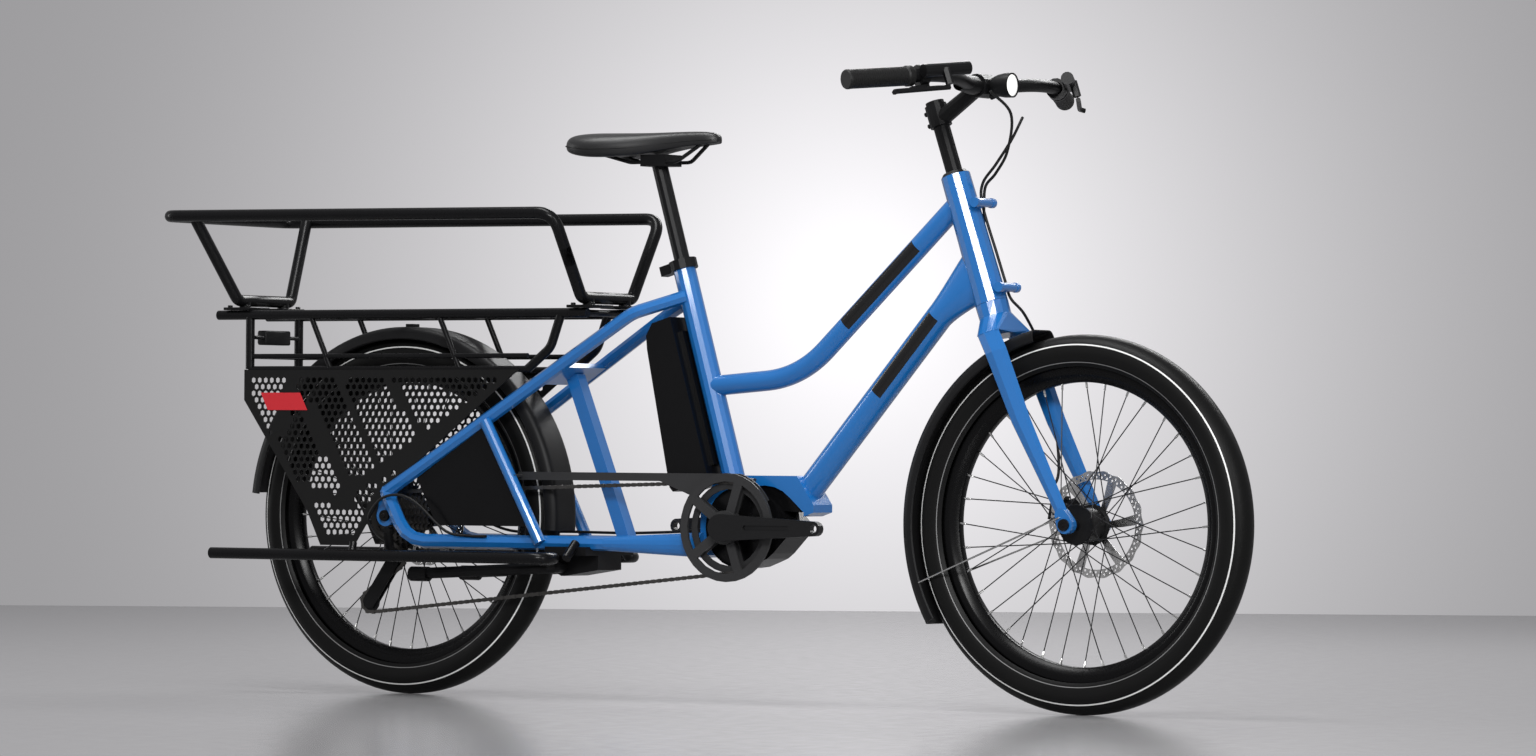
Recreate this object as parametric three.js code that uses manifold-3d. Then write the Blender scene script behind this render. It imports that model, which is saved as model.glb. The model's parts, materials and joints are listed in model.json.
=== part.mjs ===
import * as THREE from "three";
import { ConvexGeometry } from "three/addons/geometries/ConvexGeometry.js";
import { mergeVertices } from "three/addons/utils/BufferGeometryUtils.js";
import Module from "manifold-3d";

// A longtail cargo bike. Millimetres and degrees; X forward, Y to the rider's left, Z up from the ground.

const wasm = await Module();
wasm.setup();

// Driving dimensions of the whole bike
const wheelbase = 1375;
const wheelRadius = 315.5;
const rearCentre = 707;
const bracketHeight = 303;
const headAngle = 71.4;
const seatAngle = 73.7;
const forkLength = 407;
const forkRake = 54;
const headLength = 226;
const seatTubeLength = 470;

// Gaps between pieces
const clearance = 0.3;
const runningGap = 0.6;
const overrun = 3;

// Tubes of the frame
const headTube = { topRadius: 25, footRadius: 28, bore: 15.2 };
const seatTube = { radius: 19.5, bore: 14.2 };
const topTube = {
  radius: 17.5, headUp: 184, seatUp: 252, bendForward: 110.5, bendRise: 257, bendRadius: 200,
};
const downTube = {
  radius: 23, headUp: 72, footForward: 122, footRise: 56, gussetReach: 120, gussetHalf: 52,
  gussetShare: 0.9,
};
const carrierBoss = {
  radius: 7.5, collarRadius: 8.5, half: 31, collar: 9, forward: 37.5, lowUp: 15, highUp: 165,
};
const cradle = {
  half: 30, wall: 13, topRear: 38, rise: 89, frontReach: 156, tipRise: 27, rearFoot: 53,
  rearTop: 34, archForward: 58, archRadius: 72, archTip: 136,
};
const stay = {
  radius: 11.5, topSide: 14, topDrop: 57, kinkSide: 56, kinkBack: 199, kinkRise: 367, rearSide: 82,
  bendRadius: 60,
};
const chainstay = {
  radius: 12.5, rise: -31, frontSide: 33, frontBack: 66, cornerForward: 52, bendRadius: 60,
  flareLength: 190, flareHalf: 22,
};
const strut = { radius: 10.5, topForward: 217, topRise: 168, footForward: 330, footSide: 74 };
const yoke = { rise: 42, forward: 6, radius: 15 };
const dropout = { thickness: 7, radius: 19, innerSide: 71 };
const brace = {
  side: 25, topForward: 350, topRise: 250, footForward: 466, plateLength: 56, plateThickness: 9,
  plateHalf: 72, tieRadius: 9,
};

// Drive unit, battery and cranks
const motor = {
  half: 34, rearForward: 10, rearRadius: 70, frontRadius: 61, frontForward: 35, noseForward: 98,
  noseRadius: 16, shoulderHalf: 24,
};
const battery = { width: 66, depth: 84, along: 92, topGap: 87, corner: 26, rail: 6, railShare: 0.5 };
const crank = {
  length: 190, hubRadius: 23, eyeRadius: 12.5, eyeHole: 7, thickness: 14, innerSide: 71,
  spindle: 11, slotFromShare: 0.28, slotToShare: 0.72, slotHalf: 5, slotDepth: 3,
};
const ring = {
  radius: 93, rim: 14, spokeWidth: 17, thickness: 5, side: 58, hubRadius: 29, spokes: 5,
  spokeTurnShare: 0.5, sprocketRadius: 77.5, sprocketSide: 50, sprocketThickness: 3,
  sprocketRim: 12,
};
const guard = {
  side: 54, thickness: 2, radius: 81, band: 14, tailBack: 437, tailTop: 92, tailHeight: 14,
  wedgeBack: 140, sweep: 60, backSweep: 55, wedgeSweep: 10, steps: 8, boltRadius: 3, boltAngle: 65,
  boltReach: 90,
};
const chain = { width: 5.2, height: 8, stepAngle: 15 };
const cage = {
  upper: [4, 240], lower: [-50, 163], wheelRadius: 19, wheelHalf: 1.5, plateRadius: 14, inner: 4,
  outer: 6, pinRadius: 4, bodyRadius: 8,
};
const hangerPlace = { forward: 8, drop: 28 };

// Wheels
const tyre = { width: 64, height: 54.3 };
const rim = { width: 34, edge: 25, bedDepth: 11, innerHalf: 8 };
const spoke = { radius: 1.4, count: 36, cross: 62, sides: 3, stagger: 1.6 };
const frontHub = {
  flangeRadius: 34, flangeSide: 27, flangeThickness: 2, bodyRadius: 28, endRadius: 11, rightRadius: 11,
  half: 50.2, shoulder: 2, seatRadius: 20, rotorSide: 39, axleRadius: 6, outer: 66.3, nutRadius: 11,
  nutHeight: 5,
};
const rearHub = {
  flangeRadius: 29, flangeSide: 27, flangeThickness: 2, bodyRadius: 21, endRadius: 16.7, rightRadius: 7.5,
  half: 70.7, shoulder: 2, seatRadius: 20, rotorSide: 39, axleRadius: 6, outer: 78.3, nutRadius: 10,
  nutHeight: 7,
};
const rotor = {
  radius: 90, band: 15, thickness: 1.8, arms: 6, hubRadius: 25, swirlShare: 0.12,
  windowShares: [0.1, 0.35, 0.6, 0.88], footShares: [0.2, 0.8],
};
const cassette = {
  smallRadius: 24, largeRadius: 66, boreRadius: 17, innerSide: 33, width: 32, cogs: 8, chainCog: 4,
  valleyShare: 0.85,
};
const caliper = {
  length: 44, width: 34, height: 26, tilt: 60, inset: 8, armRadius: 7, frontAngle: 142,
  rearAngle: 28,
};

// Steering assembly
const steerer = { radius: 14.3, topCap: 6, joint: 10 };
const crown = { drop: 60, neckDrop: 24, neckLength: 27, neckWidth: 29, footLength: 20 };
const leg = {
  side: 58, rootSide: 50, rootAhead: 6, rootDrop: 56, topAhead: 15, topDrop: 92, topLength: 21,
  topWidth: 14, midAhead: 25, midDrop: 215, midLength: 18, midWidth: 12, footAhead: 52,
  footRise: 18, footLength: 11, footWidth: 7.5, eyeRadius: 15, footInner: 50.5, footOuter: 66,
};
const stem = {
  radius: 19, height: 38, reach: 97, clampUp: 351, top: 352, cap: 6, capRadius: 16, clampRadius: 20,
  clampHalf: 22, armUp: 328, armWidth: 17, armHeight: 15, armEndHeight: 13, boltUps: [322, 343],
  boltReach: 5, boltRadius: 4,
};
const bar = {
  radius: 11.1, bulge: 15.9, bulgeHalf: 45, sweepForward: 25, sweepSide: 125, gripForward: 25,
  gripSide: 200, endBack: 45, endSide: 352, endRise: 9, bendRadius: 60,
};
const grip = { radius: 16.5, length: 124, endWall: 5, collar: 12, collarRadius: 17.5 };
const lever = {
  clampAlong: 15, clampWidth: 16, clampRadius: 18, bodyRadius: 11, bodyAhead: 27, bodyBack: 55,
  bodyFront: 34, neckRadius: 7, knuckleAhead: 5, knuckleDrop: 28, knuckleBack: 5, start: 3,
  knuckleRadius: 7, bladeRadius: 4.5, bladeLength: 104, bendAlong: 26, bendBack: 2, tipBack: 8,
  hook: 8, bendRadius: 12,
};
const headlight = {
  radius: 21, rearRadius: 14, length: 46, forward: 58, drop: 16, shoulderShare: 0.4, armRadius: 6,
};
const shifter = { radius: 9, reach: 26, tipRadius: 6, thickness: 5, turn: 250 };

// Mudguards
const mudguard = { gap: 18.5, half: 38, depth: 22, thickness: 3, step: 9, flatShare: 0.45 };
const frontGuardFrom = 86;
const frontGuardTo = 192;
const rearGuardFrom = -4;
const rearGuardTo = 173.5;
const guardStay = {
  radius: 2, sides: 6, reachShare: 0.5, rise: 12, tab: 9, braceShare: 0.5, braceAngle: 20,
  linkRadius: 8, angle: 174,
};

// Rack, rail, guards and steps
const rack = {
  half: 72, rise: 40, tubeRadius: 8.5, rear: -377, front: 425, postRear: 71, postRadius: 8,
  postForward: -306, railRadius: 4.5, railDrop: 74, railFront: 300, barDrop: 97, barHalf: 5.5,
  barFront: 300, hoopForward: 370, hoopBack: 22, hoopDrop: 60, hoopBend: 40, strutRadius: 5,
  crossRadius: 6, crossForwards: [-326, -170, 0, 111, 250, 414],
};
const rackStruts = { forwards: [-172, 108], run: 46 };
const hoop = {
  radius: 10.5, half: 182, legHalf: 167, rise: 175, frontRise: 170, rear: -418, front: 416,
  footHalf: 78, footRise: 26, rearLegTop: -362, rearFoot: -330, jointShares: [0.4, 0.6],
  bendRadius: 34, footPlate: 5, footLength: 56, plateInner: 20, plateOuter: 84, postShare: 0.72,
};
const sideGuard = {
  side: 81, thickness: 2.5, rear: -310, topDrop: 98, rearLow: 519, footRear: -168, footTop: 323,
  band: 30, low: 262, footFront: -64, axleForward: -288, axleHeight: 356, front: 288,
};
const panel = {
  side: 74,
  thickness: 3,
  outline: [
    [60, 398],
    [228, 488],
    [330, 300],
    [110, 300],
  ],
};
const step = {
  side: 150, inner: 96, radius: 10, drop: 57, rear: -330, front: 385, innerRear: -70,
  crossForwards: [-50, 160, 330], crossWidth: 24, crossHeight: 5, armForward: 400, armInner: 67,
  armRadius: 8, hangerForward: -60, hangerRadius: 7,
};
const tailLight = { width: 74, height: 26, depth: 24, drop: 40, forward: -306, pinRadius: 4 };

// Saddle, post, clamp and stand
const seatpost = { radius: 13.6, length: 300, above: 171, headLength: 52, headHeight: 26, headLift: 6 };
const saddle = {
  length: 300,
  width: 150,
  height: 46,
  rear: -177.1,
  rise: 65.8,
  stationShares: [
    [0, 0.45, 0.16, 0.28],
    [0.07, 0.86, 0.02, 0.72],
    [0.22, 1, 0, 0.98],
    [0.4, 0.84, 0.02, 0.95],
    [0.6, 0.48, 0.02, 0.75],
    [0.8, 0.31, 0, 0.58],
    [0.95, 0.25, 0, 0.5],
    [1, 0.14, 0.1, 0.26],
  ],
};
const saddleRail = {
  radius: 3.5, half: 22, drop: 34, rearReach: 110, flatHalf: 48, frontReach: 96, rearShare: 1.4,
  noseShare: 0.4, bendRadius: 20, bendSteps: 2,
};
const seatClamp = { height: 17, seat: 9, wall: 5, earLength: 18, earWidth: 22 };
const stand = {
  pivotForward: 352, pivotDrop: 74, side: 74, footSide: 76, legRadius: 10, footRadius: 13,
  footLength: 34, length: 292, droop: 15, bendRadius: 18, wall: 5, cheekHalf: 36, plateRear: 340,
  plateFront: 426, plateDeep: 34, plateHalf: 74, plateThickness: 9,
};

// Cords, as hand-chosen places along their real routes
const cordSize = { radius: 2.5, lead: 20, endGap: 0.6, step: 26 };
// The steering places are [ahead, side, up] from the lower race.
const frontHose = [
  [120, 62, 290],
  [108, 24, 252],
  [70, 18, 222],
  [36, 18, 200],
  [24.5, 18, 165],
  [25, 19, 80],
  [26, 19, 30],
  [26.5, 20, 0],
  [34, 38, -32],
  [24, 77, -88],
  [20, 77, -170],
  [0, 68, -290],
  [-17, 50, -325],
];
const rearHoseSteer = [
  [130, -40, 328],
  [134, 0, 288],
  [100, 16, 236],
  [62, 25, 210],
  [35, 27, 196],
  [21, 28, 165],
  [8, 33, 138],
  [-16, 33, 104],
];
const rearHoseFrame = [
  [1112, 28, 693],
  [990, 28, 549],
  [880, 30, 420],
  [838, 38, 381],
  [780, 41, 349],
  [700, 41, 330],
  [610, 43, 300],
  [460, 50, 290],
  [300, 60, 290],
  [170, 68, 290],
  [96, 54, 318],
];
const shiftCable = [
  [220, -80.4, 282],
  [185, -83, 282.4],
  [140, -90, 290],
  [90, -102, 335],
  [50, -103, 352],
  [8, -102, 345],
  [-22, -98, 312],
  [-17, -86, 284],
  [-4.6, -76, 271],
];

const roundSides = 14;
const thinSides = 6;
const stepSides = 9;
const cordSides = 8;
const legSides = 8;
const hubSides = 12;
const ringSides = 32;
const wheelSides = 40;
const discSides = 24;
const bendSteps = 3;

const radians = THREE.MathUtils.degToRad;
const point = (x, y, z) => new THREE.Vector3(x, y, z);
const lathePole = point(0, 1, 0);

// Solids

// A closed mesh as a solid that can be joined or cut, with its faces pointing out.
function solidOf(geometry) {
  const bare = geometry.index ? geometry.toNonIndexed() : geometry.clone();
  bare.deleteAttribute("normal");
  bare.deleteAttribute("uv");
  const merged = mergeVertices(bare, 1e-3);
  const kept = [];
  const index = merged.index.array;
  for (let i = 0; i < index.length; i += 3) {
    const [a, b, c] = [index[i], index[i + 1], index[i + 2]];
    if (a !== b && b !== c && c !== a) kept.push(a, b, c);
  }
  const build = (triangles) =>
    new wasm.Manifold(
      new wasm.Mesh({
        numProp: 3,
        vertProperties: merged.attributes.position.array,
        triVerts: new Uint32Array(triangles),
      }),
    );
  const solid = build(kept);
  if (solid.volume() > 0) return solid;
  for (let i = 0; i < kept.length; i += 3) [kept[i + 1], kept[i + 2]] = [kept[i + 2], kept[i + 1]];
  return build(kept);
}

function geometryOf(solid) {
  const mesh = solid.getMesh();
  const places = new Float32Array(mesh.numVert * 3);
  for (let i = 0; i < mesh.numVert; i++) {
    places.set(mesh.vertProperties.subarray(i * mesh.numProp, i * mesh.numProp + 3), i * 3);
  }
  const geometry = new THREE.BufferGeometry();
  geometry.setAttribute("position", new THREE.BufferAttribute(places, 3));
  geometry.setIndex(new THREE.BufferAttribute(new Uint32Array(mesh.triVerts), 1));
  geometry.computeVertexNormals();
  return geometry;
}

const join = (...pieces) => geometryOf(pieces.map(solidOf).reduce((whole, piece) => whole.add(piece)));
const cut = (base, ...tools) =>
  geometryOf(tools.map(solidOf).reduce((whole, tool) => whole.subtract(tool), solidOf(base)));

// Shapes

// Turns a piece made along +Y so that it starts at a place and points along a direction.
function aim(geometry, place, direction) {
  const turn = new THREE.Quaternion().setFromUnitVectors(lathePole, direction.clone().normalize());
  return geometry.clone().applyQuaternion(turn).translate(place.x, place.y, place.z);
}

// A round rod or cone from one place to another.
function rod(from, to, radius, sides = roundSides, endRadius = radius) {
  const way = to.clone().sub(from);
  const cylinder = new THREE.CylinderGeometry(endRadius, radius, way.length(), sides);
  cylinder.translate(0, way.length() / 2, 0);
  return aim(cylinder, from, way);
}

// A profile of [radius, distance along] pairs turned round +Y.
const turned = (profile, sides = roundSides) =>
  new THREE.LatheGeometry(profile.map(([radius, along]) => new THREE.Vector2(radius, along)), sides);

const circle = (radius, sides) =>
  Array.from({ length: sides }, (_, i) => {
    const angle = (2 * Math.PI * i) / sides;
    return new THREE.Vector2(radius * Math.cos(angle), radius * Math.sin(angle));
  });

// A path through given points, with one step of the sweep for each of them.
class PointPath extends THREE.Curve {
  constructor(points) {
    super();
    this.points = points;
  }
  getPointAt(share) {
    const place = share * (this.points.length - 1);
    const before = Math.min(Math.floor(place), this.points.length - 2);
    return this.points[before].clone().lerp(this.points[before + 1], place - before);
  }
  getTangentAt(share) {
    const i = Math.round(share * (this.points.length - 1));
    const way = (from, to) => this.points[to].clone().sub(this.points[from]).normalize();
    const tangent = point(0, 0, 0);
    if (i > 0) tangent.add(way(i - 1, i));
    if (i < this.points.length - 1) tangent.add(way(i, i + 1));
    return tangent.normalize();
  }
}

// The corners of a bent tube's centre line, each rounded to a radius.
function rounded(corners, radius, steps = bendSteps) {
  const path = [corners[0]];
  for (let i = 1; i < corners.length - 1; i++) {
    const back = corners[i - 1].clone().sub(corners[i]).normalize();
    const ahead = corners[i + 1].clone().sub(corners[i]).normalize();
    const half = back.angleTo(ahead) / 2;
    const centre = back.clone().add(ahead).setLength(radius / Math.sin(half)).add(corners[i]);
    const arm = back.clone().setLength(radius / Math.tan(half)).add(corners[i]).sub(centre);
    const axis = ahead.clone().cross(back).normalize();
    for (let s = 0; s <= steps; s++) {
      const turn = ((Math.PI - 2 * half) * s) / steps;
      path.push(arm.clone().applyAxisAngle(axis, turn).add(centre));
    }
  }
  path.push(corners[corners.length - 1]);
  return path;
}

const tube = (points, radius, sides = roundSides) =>
  new THREE.ExtrudeGeometry(new THREE.Shape(circle(radius, sides)), {
    steps: points.length - 1,
    bevelEnabled: false,
    extrudePath: new PointPath(points),
  });

// A flat plate whose outline is drawn in X and Z, between two Y places.
function plate(outline, fromSide, toSide, holes = []) {
  const flat = (corners) => corners.map(([x, z]) => new THREE.Vector2(x, z));
  const shape = new THREE.Shape(flat(outline));
  shape.holes = holes.map((hole) => new THREE.Path(flat(hole)));
  const geometry = new THREE.ExtrudeGeometry(shape, { depth: toSide - fromSide, bevelEnabled: false });
  return geometry.rotateX(Math.PI / 2).translate(0, toSide, 0);
}

const block = (low, high) =>
  new THREE.BoxGeometry(high.x - low.x, high.y - low.y, high.z - low.z).translate(
    (low.x + high.x) / 2,
    (low.y + high.y) / 2,
    (low.z + high.z) / 2,
  );

const round = (x, z, radius, sides = discSides) => circle(radius, sides).map(
  (corner) => [x + corner.x, z + corner.y],
);

// The outline stretched round a set of points in X and Z.
function wrap(corners) {
  const sorted = corners.slice().sort((a, b) => a[0] - b[0] || a[1] - b[1]);
  const turnsLeft = (a, b, c) => (b[0] - a[0]) * (c[1] - a[1]) - (b[1] - a[1]) * (c[0] - a[0]) > 0;
  const chainOf = (list) => {
    const kept = [];
    for (const corner of list) {
      while (kept.length > 1 && !turnsLeft(kept[kept.length - 2], kept[kept.length - 1], corner)) kept.pop();
      kept.push(corner);
    }
    return kept.slice(0, -1);
  };
  return [...chainOf(sorted), ...chainOf(sorted.reverse())];
}

// A closed skin through rings of equally many points.
function loft(rings) {
  const sides = rings[0].length;
  const places = rings.flat().flatMap((corner) => [corner.x, corner.y, corner.z]);
  const faces = [];
  for (let r = 0; r + 1 < rings.length; r++) {
    for (let i = 0; i < sides; i++) {
      const [a, b] = [r * sides + i, r * sides + ((i + 1) % sides)];
      faces.push(a, b, a + sides, b, b + sides, a + sides);
    }
  }
  const cap = (start, flip) => {
    const outline = THREE.ShapeUtils.triangulateShape(flatten(rings[start]), []);
    for (const [a, b, c] of outline) {
      const corners = flip ? [a, b, c] : [a, c, b];
      faces.push(...corners.map((corner) => start * sides + corner));
    }
  };
  cap(0, false);
  cap(rings.length - 1, true);
  const geometry = new THREE.BufferGeometry();
  geometry.setAttribute("position", new THREE.Float32BufferAttribute(places, 3));
  geometry.setIndex(faces);
  return geometry;
}

// A flat ring's points drawn in its own plane, with its turning sense kept.
function flatten(ringPoints) {
  const centre = ringPoints.reduce((sum, p) => sum.add(p), point(0, 0, 0)).divideScalar(ringPoints.length);
  const across = ringPoints[0].clone().sub(centre).normalize();
  const normal = point(0, 0, 0);
  ringPoints.forEach((p, i) => {
    const next = ringPoints[(i + 1) % ringPoints.length];
    normal.add(p.clone().sub(centre).cross(next.clone().sub(centre)));
  });
  const along = normal.normalize().clone().cross(across);
  return ringPoints.map((p) => {
    const arm = p.clone().sub(centre);
    return new THREE.Vector2(arm.dot(across), arm.dot(along));
  });
}

// An ellipse of points round a centre, spanned by two half axes.
const oval = (centre, halfA, halfB, sides = roundSides) =>
  circle(1, sides).map((c) => centre.clone().addScaledVector(halfA, c.x).addScaledVector(halfB, c.y));

const ball = (centre, radius) =>
  new THREE.SphereGeometry(radius, thinSides, thinSides / 2).translate(centre.x, centre.y, centre.z);

const hull = (...rings) => new ConvexGeometry(rings.flat());

// Reference places

const rimRadius = wheelRadius - tyre.height;
const mudguardRadius = wheelRadius + mudguard.gap;
const batteryLength = seatTubeLength - battery.along - battery.topGap;
const pivotHeight = bracketHeight - stand.pivotDrop;
const rackHeight = wheelRadius * 2 + rack.rise;
const rackRailHeight = rackHeight - rack.railDrop;
const rackBarHeight = rackHeight - rack.barDrop;
const hoopFootHeight = rackHeight + hoop.footRise;
const bracket = point(rearCentre, 0, bracketHeight);
const rearAxle = point(0, 0, wheelRadius);
const seatWay = point(-Math.cos(radians(seatAngle)), 0, Math.sin(radians(seatAngle)));
const steerWay = point(-Math.cos(radians(headAngle)), 0, Math.sin(radians(headAngle)));
const steerAhead = point(Math.sin(radians(headAngle)), 0, Math.cos(radians(headAngle)));
const frontAxle = point(wheelbase, 0, wheelRadius);
const race = frontAxle.clone().addScaledVector(steerAhead, -forkRake).addScaledVector(steerWay, forkLength);
const onSeat = (along) => bracket.clone().addScaledVector(seatWay, along);
const onSteer = (along, ahead = 0, side = 0) =>
  race.clone().addScaledVector(steerWay, along).addScaledVector(steerAhead, ahead).setY(side);
const fromRear = (forward, side, rise) => rearAxle.clone().add(point(forward, side, rise));
const fromBracket = (forward, side, rise) => bracket.clone().add(point(forward, side, rise));
const stretched = (from, to, radius) => {
  const way = to.clone().sub(from).setLength(overrun);
  return rod(from.clone().sub(way), to.clone().add(way), radius);
};
// Of several loose bodies left by a cut, the largest one.
function largest(geometry) {
  const bodies = solidOf(geometry).decompose();
  return geometryOf(bodies.reduce((best, body) => (body.volume() > best.volume() ? body : best)));
}
const sides = { right: -1, left: 1 };

// Finishes as colour, roughness and metalness
const finishes = {
  bluePaint: [0x1c5fb0, 0.28, 0.25],
  blackPaint: [0x0b0b0c, 0.3, 0.1],
  blackMetal: [0x151516, 0.4, 0.6],
  blackPlastic: [0x141415, 0.6, 0],
  greyPlastic: [0x3a3a3b, 0.55, 0],
  rubber: [0x121212, 0.85, 0],
  steel: [0xb4b4b2, 0.35, 0.9],
  lens: [0xf4f4f0, 0.15, 0],
  red: [0xc41a20, 0.35, 0],
  darkRed: [0x14161f, 0.2, 0],
  vinyl: [0x161616, 0.6, 0],
};

const bike = new THREE.Group();

function part(name, finish, geometry, parent = bike) {
  const [color, roughness, metalness] = finishes[finish];
  const mesh = new THREE.Mesh(
    geometryOf(solidOf(geometry)),
    new THREE.MeshStandardMaterial({ color, roughness, metalness }),
  );
  mesh.name = name;
  parent.add(mesh);
  return mesh;
}

// Frame

const headShell = (extra) =>
  aim(
    turned([
      [0, -overrun],
      [headTube.footRadius + extra, -overrun],
      [headTube.topRadius + extra, headLength + overrun],
      [0, headLength + overrun],
    ]),
    race,
    steerWay,
  );
const seatShell = (extra) => rod(onSeat(0), onSeat(seatTubeLength + overrun), seatTube.radius + extra);

function makeHeadTube() {
  const shell = turned([
    [headTube.bore, 0],
    [headTube.footRadius, 0],
    [headTube.topRadius, headLength],
    [headTube.bore, headLength],
    [headTube.bore, 0],
  ]);
  const bosses = [carrierBoss.lowUp, carrierBoss.highUp].flatMap((along) => {
    const place = (side) => onSteer(along, carrierBoss.forward, side);
    const inner = carrierBoss.half - carrierBoss.collar;
    return [
      rod(place(-carrierBoss.half), place(carrierBoss.half), carrierBoss.radius, roundSides),
      ...Object.values(sides).map((s) =>
        rod(place(s * inner), place(s * carrierBoss.half), carrierBoss.collarRadius, roundSides),
      ),
      rod(onSteer(along, headTube.topRadius - overrun), place(0), carrierBoss.radius, thinSides),
    ];
  });
  part("head_tube", "bluePaint", join(aim(shell, race, steerWay), ...bosses));
}

function makeHeadset() {
  const cap = turned([
    [headTube.bore, headLength + clearance],
    [headTube.topRadius, headLength + clearance],
    [steerer.radius + steerer.topCap, headLength + steerer.topCap],
    [headTube.bore, headLength + steerer.topCap],
    [headTube.bore, headLength + clearance],
  ]);
  part("headset_cap", "blackMetal", aim(cap, race, steerWay));
}

function makeTopTube() {
  const path = rounded(
    [
      onSteer(topTube.headUp),
      fromBracket(topTube.bendForward, 0, topTube.bendRise),
      onSeat(topTube.seatUp),
    ],
    topTube.bendRadius,
    bendSteps * 2,
  );
  part("top_tube", "bluePaint", cut(tube(path, topTube.radius), headShell(clearance), seatShell(clearance)));
}

const downFoot = fromBracket(downTube.footForward, 0, downTube.footRise);
const downHead = onSteer(downTube.headUp);

function makeDownTube() {
  const way = downHead.clone().sub(downFoot).normalize();
  const across = point(-way.z, 0, way.x);
  const reach = downHead.clone().addScaledVector(way, -downTube.gussetReach);
  const sideways = point(0, downTube.radius, 0);
  const gusset = hull(
    oval(reach, sideways, across.clone().multiplyScalar(downTube.radius)),
    oval(
      onSteer(downTube.headUp - downTube.radius / 2),
      sideways.clone().multiplyScalar(downTube.gussetShare),
      steerWay.clone().multiplyScalar(downTube.gussetHalf),
    ),
  );
  const whole = join(rod(downFoot, downHead, downTube.radius), gusset);
  part("down_tube", "bluePaint", cut(whole, headShell(clearance), cradleShell(clearance)));
}

function makeSeatTube() {
  const bore = rod(onSeat(seatTubeLength - seatpost.length), onSeat(seatTubeLength + overrun), seatTube.bore);
  const shell = rod(onSeat(cradle.rise), onSeat(seatTubeLength), seatTube.radius);
  part("seat_tube", "bluePaint", cut(shell, bore, cradleShell(clearance)));
}

// The shell that carries the drive unit between the seat tube, the down tube and the chainstays.
const cradleRear = rearCentre + motor.rearForward - motor.rearRadius - cradle.wall;
const cradleOutline = wrap([
  [cradleRear, bracketHeight - cradle.rearFoot],
  [cradleRear, bracketHeight + cradle.rearTop],
  [rearCentre - cradle.topRear, bracketHeight + cradle.rise],
  [rearCentre + downTube.footForward, bracketHeight + cradle.rise],
  [rearCentre + cradle.frontReach, bracketHeight + cradle.tipRise + cradle.wall],
  [rearCentre + cradle.frontReach, bracketHeight + cradle.tipRise],
]);
function cradleShell(extra) {
  const whole = plate(cradleOutline, -cradle.half - extra, cradle.half + extra);
  const swell = 1 + (2 * extra) / cradle.frontReach;
  whole.translate(-bracket.x, 0, -bracket.z).scale(swell, 1, swell).translate(bracket.x, 0, bracket.z);
  return whole;
}
const motorOutline = wrap([
  ...round(rearCentre + motor.rearForward, bracketHeight, motor.rearRadius),
  ...round(rearCentre + motor.frontForward, bracketHeight, motor.frontRadius),
  ...round(rearCentre + motor.noseForward, bracketHeight, motor.noseRadius, roundSides),
]);
// The arch under the shell, where the drive unit sits.
const archCorners = (gap) => [
  ...round(rearCentre + motor.rearForward, bracketHeight, motor.rearRadius + gap),
  ...round(rearCentre + cradle.archForward, bracketHeight, cradle.archRadius + gap),
  [rearCentre + cradle.archTip + gap, bracketHeight + cradle.tipRise],
];

function makeCradle() {
  const floor = bracketHeight - motor.rearRadius * 2;
  const room = wrap([
    ...archCorners(clearance),
    [rearCentre + cradle.archTip + clearance, floor],
    [cradleRear + cradle.wall - clearance, floor],
  ]);
  const side = cradle.half + overrun;
  part("motor_cradle", "bluePaint", cut(cradleShell(0), plate(room, -side, side)));
}

// The stays, chainstay, strut and dropout of one side, swollen by a gap where another piece is cut to fit.
function triangleShell(s, extra) {
  const rear = stay.rearSide;
  const top = onSeat(seatTubeLength - stay.topDrop).setY(s * stay.topSide);
  const kink = fromBracket(-stay.kinkBack, s * stay.kinkSide, stay.kinkRise);
  const corner = fromRear(yoke.forward, s * rear, yoke.rise);
  const low = bracketHeight + chainstay.rise - wheelRadius;
  const front = fromBracket(-chainstay.frontBack, s * chainstay.frontSide, chainstay.rise);
  const bottom = fromRear(chainstay.cornerForward, s * rear, low);
  const flareStart = front.clone().sub(front.clone().sub(bottom).setLength(chainstay.flareLength));
  const width = point(0, chainstay.radius + extra, 0);
  const flare = hull(
    oval(flareStart, width, point(0, 0, chainstay.radius + extra)),
    oval(front, width, point(0, 0, chainstay.flareHalf + extra)),
  );
  const tab = wrap([
    ...round(0, wheelRadius, dropout.radius + extra, roundSides),
    ...round(yoke.forward, wheelRadius + yoke.rise, yoke.radius + extra, roundSides),
  ]);
  const inner = dropout.innerSide - extra;
  const outer = dropout.innerSide + dropout.thickness + extra;
  return join(
    tube(rounded([top, kink, corner], stay.bendRadius), stay.radius + extra, legSides),
    tube(rounded([corner, bottom, front], chainstay.bendRadius), chainstay.radius + extra, legSides),
    ball(corner, stay.radius + extra + runningGap),
    flare,
    rod(
      fromRear(strut.topForward, s * rear, strut.topRise),
      fromRear(strut.footForward, s * strut.footSide, low),
      strut.radius + extra,
    ),
    plate(tab, s > 0 ? inner : -outer, s > 0 ? outer : -inner),
  );
}

function makeRearTriangle(name, s) {
  const side = rearHub.outer + overrun;
  const axle = rod(rearAxle.clone().setY(-side), rearAxle.clone().setY(side), rearHub.axleRadius + clearance);
  part(
    name,
    "bluePaint",
    largest(cut(triangleShell(s, 0), seatShell(clearance), cradleShell(clearance), axle)),
  );
}

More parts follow.
